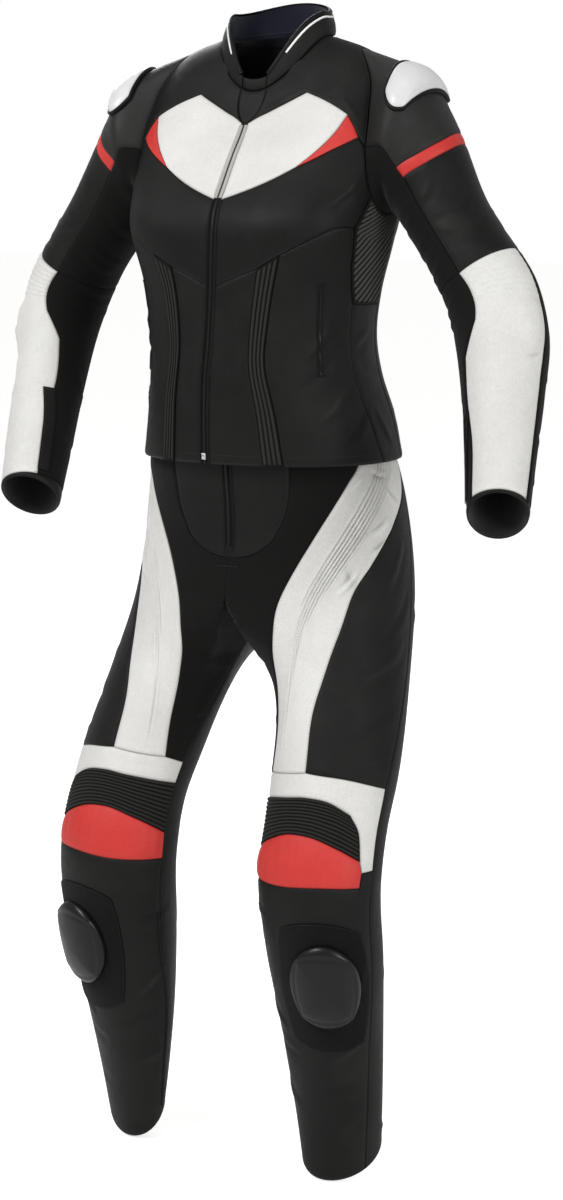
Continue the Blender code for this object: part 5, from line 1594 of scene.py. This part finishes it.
# a facing inside the neck that covers the collar's seam
facingTape = dict(lift=-0.0030, wall=0.0008, down=-0.0075, up=0.16, aimUp=0.1)
turns = np.linspace(-179.0, 181.0, 150)
lowLevel, neckLevels = np.full(turns.shape, neck + facingTape["down"]), np.full(turns.shape, neck)
lines = [body(turns, lowLevel), body(turns, neckLevels), collar(turns, np.full(turns.shape, facingTape["up"]))]
collarAims = collarNormal(turns, np.full(turns.shape, facingTape["aimUp"]))
out = unit(np.stack([bodyNormal(turns, lowLevel)] * 3) + collarAims)
outer = np.stack(lines) + out * facingTape["lift"]
tape = makeShell("neckTape", outer, outer - out * facingTape["wall"], ring=True)
for face in ("outer", "inner"):
    tape.data.materials.append(looks["collarLining"])
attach(tape, "root")
width, length, area = flatCut(outer)
print("collar sewn")


# small parts built from strips of quads
def addPiece(name, points, faces, look="blackLeather", slotName=None, rounded=True):
    mesh = bpy.data.meshes.new(name)
    mesh.from_pydata(points.tolist(), [], faces)
    mesh.materials.append(looks[look])
    if rounded:
        mesh.shade_smooth()
        mesh.set_sharp_from_angle(angle=np.radians(sewing["partSharpAngle"]))
    piece = bpy.data.objects.new(name, mesh)
    scene.collection.objects.link(piece)
    slotName = slotName or slots[look]
    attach(piece, "root")
    return piece


def throughPoints(line, count):
    # a smooth line through the points, at even steps
    line = np.array(line, float)
    lengths = runLengths(line)
    return smooth(lengths, line, np.linspace(0, lengths[-1], count))


def profileAlong(line, out, profile):
    # sweeps a closed profile of (across, up) places along a line, with closed ends
    run = unit(np.gradient(line, axis=0))
    across = unit(np.cross(run, out))
    up = unit(np.cross(across, run))
    profile = np.array(profile)
    count = len(profile)
    rings = line[:, None] + across[:, None] * profile[None, :, :1] + up[:, None] * profile[None, :, 1:]
    points = rings.reshape(-1, 3)
    faces = []
    for i in range(len(line) - 1):
        for j in range(count):
            a, b = i * count + j, i * count + (j + 1) % count
            faces.append((a, b, b + count, a + count))
    faces.append(tuple(range(count))[::-1])
    faces.append(tuple(range(len(points) - count, len(points))))
    return points, faces


def joined(parts):
    points, faces, start = [], [], 0
    for part, own in parts:
        points.append(part)
        faces += [tuple(k + start for k in face) for face in own]
        start += len(part)
    return np.concatenate(points), faces


def halfRound(width, height, sink=0.0004, steps=6):
    angles = np.linspace(0, np.pi, steps + 1)
    rim = [(-width / 2 * np.cos(a), height * np.sin(a)) for a in angles]
    return [(-width / 2, -sink)] + rim + [(width / 2, -sink)]


def block(centre, run, out, length, wide, high, chamfer):
    # a small box with its upper edges taken off
    side = np.cross(run, out)
    corners = []
    for up, share in ((-0.15, 1.0), (0.55, 1.0), (1.0, 1.0 - chamfer)):
        for a, b in ((-1, -1), (1, -1), (1, 1), (-1, 1)):
            corner = centre + run * a * length / 2 * share + side * b * wide / 2 * share
            corners.append(corner + out * up * high)
    faces = [(3, 2, 1, 0), (8, 9, 10, 11)]
    for level in (0, 4):
        faces += [(level + k, level + (k + 1) % 4, level + 4 + (k + 1) % 4, level + 4 + k) for k in range(4)]
    return np.array(corners), faces


# the teeth of every zip: a tooth's place and size as shares of the width and the pitch, and its height
teeth = dict(pitch=0.0013, away=0.16, long=0.78, wide=0.62, high=0.0011, chamfer=0.3)


def zipAlong(name, line, out, width):
    # two rows of teeth that mesh on the line
    place, run, outs = resample(line, out, teeth["pitch"])
    side = np.cross(run, outs)
    size = (teeth["pitch"] * teeth["long"], width * teeth["wide"], teeth["high"], teeth["chamfer"])
    parts = []
    for i in range(len(place)):
        way = 1 if i % 2 else -1
        parts.append(block(place[i] + side[i] * way * width * teeth["away"], run[i], outs[i], *size))
    return addPiece(name, *joined(parts), "zipTeeth", rounded=False)


def onForm(form, places, count, lift=0.0):
    # a line through (turn, level) places on a form, with its outward directions
    line = throughPoints(np.array(places) * placeScale, count) / placeScale
    surface, normals = forms[form]
    points, out = surface(line[:, 0], line[:, 1]), normals(line[:, 0], line[:, 1])
    points = points + out * (lift + creaseHeights(form, points, out))[..., None]
    return points, out


def strokeOn(form, places, width, height, count, lift=0.0):
    # a low rounded strip laid along places on a form
    line, out = onForm(form, places, count, lift)
    return profileAlong(line, out, halfRound(width, height))


# the jacket's front zip: tape between the two edges, teeth on it, storm welts and a bright box at its foot
frontZip = dict(
    tapeSink=0.0010, tapeEdge=0.0008, teethLift=-0.0009, teethWidth=0.0036, flapFrom=-0.1525, flapTo=-0.0275,
    welt=(0.0057, 0.0030, 0.0011), flap=(0.0032, 0.0044, 0.0010),  # distance from the middle, width, height
    box=(0.0075, 0.0062, 0.0026, 0.35),  # length, width, height, chamfer
)
zipLine = seam("zipWhole", 10)


def tapeSink(places, fromEdge, across, along):
    return -frontZip["tapeSink"] * np.clip(fromEdge / frontZip["tapeEdge"], 0, 1)


sewPanel("front_zip", "body", strip(mirrored(zipLine), zipLine, 6), "zipTape", relief=tapeSink, dip=False)
middle = zipLine * np.array([0, 1])
zipPoints, zipOut = body(middle[:, 0], middle[:, 1]), bodyNormal(middle[:, 0], middle[:, 1])
zipAlong("frontZipTeeth", zipPoints + zipOut * frontZip["teethLift"], zipOut, frontZip["teethWidth"])


def alongZip(name, look, seen, away, width, height):
    # a folded leather edge on each side of the zip
    parts = []
    for way in (-1, 1):
        aside = np.cross(unit(np.gradient(zipPoints, axis=0)), zipOut)
        aside = aside * np.sign(aside[:, :1]) * way * away
        parts.append(profileAlong((zipPoints + aside)[seen], zipOut[seen], halfRound(width, height)))
    return addPiece(name, *joined(parts), look)


levels = middle[:, 1]
welted, flapped = levels < frontZip["flapFrom"], (levels > frontZip["flapFrom"]) & (levels < frontZip["flapTo"])
alongZip("frontZipWelts", "blackLeather", welted, *frontZip["welt"])
alongZip("chestZipFlaps", "whiteLeather", flapped, *frontZip["flap"])
box = block(zipPoints[3], unit(zipPoints[5] - zipPoints[1]), zipOut[3], *frontZip["box"])
addPiece("frontZipBox", *box, "brightMetal")

# the fly zip on its yoke, with a placket on each side and a tab above and below its top end
flyZip = dict(
    places=[(0.0, 0.590), (0.0, 0.555), (0.0, 0.52), (0.0, 0.475), (0.0, waist)], teethLift=0.0009,
    teethWidth=0.0036, placket=0.0034, placketHeight=0.0012, away=0.0062,
    tape=[(-0.0054, -0.0006), (-0.0050, 0.0010), (0.0050, 0.0010), (0.0054, -0.0006)],
)
flyLine, flyOut = onForm("hips", flyZip["places"], 90)
tapePiece = addPiece("fly_zip.tape", *profileAlong(flyLine, flyOut, flyZip["tape"]), "zipTape", "zip_metal")
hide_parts("fly_zip")
zipAlong("flyZipTeeth", flyLine + flyOut * flyZip["teethLift"], flyOut, flyZip["teethWidth"])
plackets = []
for way in (-1, 1):
    aside = unit(np.cross(unit(np.gradient(flyLine, axis=0)), flyOut)) * flyZip["away"] * way
    profile = halfRound(flyZip["placket"], flyZip["placketHeight"])
    plackets.append(profileAlong(flyLine + aside, flyOut, profile))
addPiece("flyPlackets", *joined(plackets))
tabs = [
    strokeOn("hips", [(0.0, 0.5985), (0.0, 0.5935), (0.0, 0.5880)], 0.0125, 0.0024, 10, -0.0002),
    strokeOn("hips", [(-9.0, 0.6105), (0.0, 0.6105), (9.0, 0.6105)], 0.0030, 0.0010, 12),
]
addPiece("flyTabs", *joined(tabs))

# pockets in the jacket's front: a zip in a slit between two welts
pocket = dict(
    places=[(52.2, -0.2780), (54.2, -0.330), (55.1, -0.384)], welt=0.0030, weltHeight=0.0013, away=2.2,
    endWelt=0.0022, endHeight=0.0012, teethLift=-0.0002, teethWidth=0.0026,
)
for letter, side in sides:
    parts = []
    for shift in (-pocket["away"] / 2, pocket["away"] / 2):
        places = [((turn + shift) * side, level) for turn, level in pocket["places"]]
        parts.append(strokeOn("body", places, pocket["welt"], pocket["weltHeight"], 60))
    for turn, level in (pocket["places"][0], pocket["places"][-1]):
        ends = [((turn + shift) * side, level) for shift in (-pocket["away"], 0.0, pocket["away"])]
        parts.append(strokeOn("body", ends, pocket["endWelt"], pocket["endHeight"], 8))
    addPiece("pocketWelts_" + letter, *joined(parts))
    places = [(turn * side, level) for turn, level in pocket["places"]]
    zipAlong("pocketZipTeeth_" + letter, *onForm("body", places, 70, pocket["teethLift"]), pocket["teethWidth"])

# zips at the cuffs and calves, each with a leather edge; the one at the calf has a stop at its foot
cuffZip = dict(
    turn=-9.0, levels=(0.880, 1.004), teethLift=0.0002, teethWidth=0.0028, weltTurn=4.2, welt=0.0032,
    weltHeight=0.0013,
)
calfZip = dict(
    levels=(1.045, 1.334), teethLift=0.0003, teethWidth=0.0032, weltTurn=3.0, welt=0.0036, weltHeight=0.0015,
    stopLift=0.0006, stop=(0.006, 0.005, 0.0016, 0.3),
)


def smallZip(name, form, size, places, count, weltCount):
    # lays the teeth and gives back the leather edge beside them
    zipAlong(name, *onForm(form, places, count, size["teethLift"]), size["teethWidth"])
    aside = [(turn + size["weltTurn"], level) for turn, level in places]
    return strokeOn(form, aside, size["welt"], size["weltHeight"], weltCount)


for letter in "lr":
    form = "sleeve_" + letter
    places = [(cuffZip["turn"], level) for level in np.linspace(*cuffZip["levels"], 5)]
    parts = [smallZip("cuffZipTeeth_" + letter, form, cuffZip, places, 110, 60)]
    form = "leg_" + letter
    line, (top, low) = seam("shinIn", 8) - fullTurn, calfZip["levels"]
    places = line[(line[:, 1] > top) & (line[:, 1] < low)][::6].tolist()
    parts.append(smallZip("calfZipTeeth_" + letter, form, calfZip, places, 240, 120))
    addPiece("smallZipWelts_" + letter, *joined(parts))
    line, out = onForm(form, places[-2:], 6, calfZip["stopLift"])
    stop = block(line[4], unit(line[-1] - line[0]), out[4], *calfZip["stop"])
    addPiece("calfZipStop_" + letter, *stop, "zipTeeth")

# a leather placket beside each cuff, turned further in on the left arm
placket = dict(
    lift=0.0015, wall=0.0011, edge=[(102.8, 0.788), (110.0, 0.846), (113.5, 0.920), (116.0, 0.990)], wide=20.0,
    away=dict(l=15.0, r=0.0),
)
for letter in "lr":
    edge = trace(34, *placket["edge"])
    across = np.linspace(0, 1, 12) * placket["wide"] + placket["away"][letter]
    places = allPlaces(edge[:, None, 0] + across, edge[:, None, 1])
    sewPanel("cuffPlacket_" + letter, "sleeve_" + letter, places, lift=placket["lift"], wall=placket["wall"],
             dip=False, stitched="low left", inFrame=False)

# the collar's rolled rim and its pale piping, which stops short of the front
rim = dict(fromTurn=15.0, level=0.975, width=0.0056, height=0.0026, lift=-0.0008, points=29, steps=220)
piping = dict(fromTurn=33.0, level=0.80, width=0.0026, height=0.0011, lift=0.0, points=27, steps=200)
for name, look, size in (("collarRim", "blackLeather", rim), ("collarPiping", "reflectivePiping", piping)):
    turns = np.linspace(size["fromTurn"], 360.0 - size["fromTurn"], size["points"])
    places = [(turn, size["level"]) for turn in turns]
    stroke = strokeOn("collar", places, size["width"], size["height"], size["steps"], size["lift"])
    addPiece(name, *stroke, look)

# hard shells
cup = dict(
    turn=10.0, halfTurn=50.0, level=0.072, halfLevel=0.029, height=0.007, lift=0.0010, squareness=0.6,
    lean=0.006, lip=0.0004,
)
slider = dict(
    turn=24.2, halfTurn=34.5, level=1.0885, halfLevel=0.054, height=0.015, lift=0.0022, squareness=1.0,
    lean=0.0, lip=0.0007,
)
dome = dict(
    rows=44, columns=52, rim=0.35, roll=0.10, rollReach=0.03, lipAt=0.86, lipReach=0.05, groove=0.8,
    grooveAt=0.76,
)
cupRoll = dict(width=0.0050, height=0.0034, away=0.0018)


def makeDome(node, form, size, look):
    surface, normals = forms[form]
    rowCount, count, slotName = dome["rows"], dome["columns"], slots[look]
    s, t = np.meshgrid(np.linspace(-1, 1, count + 1), np.linspace(-1, 1, rowCount + 1))
    x = s * np.sqrt(1 - size["squareness"] * t * t / 2)
    y = t * np.sqrt(1 - size["squareness"] * s * s / 2)
    u, v = size["turn"] + size["halfTurn"] * x, size["level"] + size["halfLevel"] * y - size["lean"] * x
    edge = np.maximum(np.abs(s), np.abs(t))
    crown = size["height"] * np.sqrt(np.clip(1 - edge**2 * (1 - dome["rim"] ** 2), 0, 1))
    crown = crown - size["height"] * dome["roll"] * np.exp(-((edge - 1.0) / dome["rollReach"]) ** 2)
    groove = size["lip"] * dome["groove"] * np.exp(-((edge - dome["grooveAt"]) / dome["rollReach"]) ** 2)
    crown = crown + size["lip"] * np.exp(-((edge - dome["lipAt"]) / dome["lipReach"]) ** 2) - groove
    points, out = surface(u, v), normals(u, v)
    outer = points + out * (size["lift"] + crown)[..., None]
    piece = makeShell(node + ".shell", outer, points + out * size["lift"])
    for face in ("outer", "inner"):
        piece.data.materials.append(looks[look])
    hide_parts(node)
    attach(piece, "root")
    around = [(row, 0) for row in range(rowCount + 1)] + [(rowCount, column) for column in range(1, count + 1)]
    around += [(row, count) for row in range(rowCount - 1, -1, -1)]
    around += [(0, column) for column in range(count - 1, -1, -1)]
    rows, columns = np.array(around).T
    return points[rows, columns], out[rows, columns]


def padRound(name, line, out):
    # a soft leather roll round a hard shell
    line, out = line[::2], out[::2]
    line = line + unit(line - line.mean(0)) * cupRoll["away"]
    addPiece(name, *profileAlong(line, out, halfRound(cupRoll["width"], cupRoll["height"])))


for letter in "lr":
    padRound("cupRoll_" + letter, *makeDome(f"shoulder_cup_{letter}", "sleeve_" + letter, cup, "hardWhite"))
    makeDome(f"knee_slider_{letter}", "leg_" + letter, slider, "hardBlack")
print("zips and hard parts made")


# the thread, one mesh for each colour
def layThread():
    shape = np.array([(0, 2, 3), (2, 1, 3), (1, 4, 3), (4, 0, 3), (2, 0, 5), (1, 2, 5), (4, 1, 5), (0, 4, 5)])
    for colour, runs in threads.items():
        corners = np.concatenate(runs)
        start = np.arange(len(corners))[:, None, None] * corners.shape[1]
        triangles = (shape[None] + start).reshape(-1, 3)
        addPiece(colour, corners.reshape(-1, 3), triangles.tolist(), colour)
        print(colour, len(corners), "stitches")


layThread()
total = sum(len(p.data.polygons) for p in bpy.data.objects if p.type == "MESH")
print("faces in all:", total)
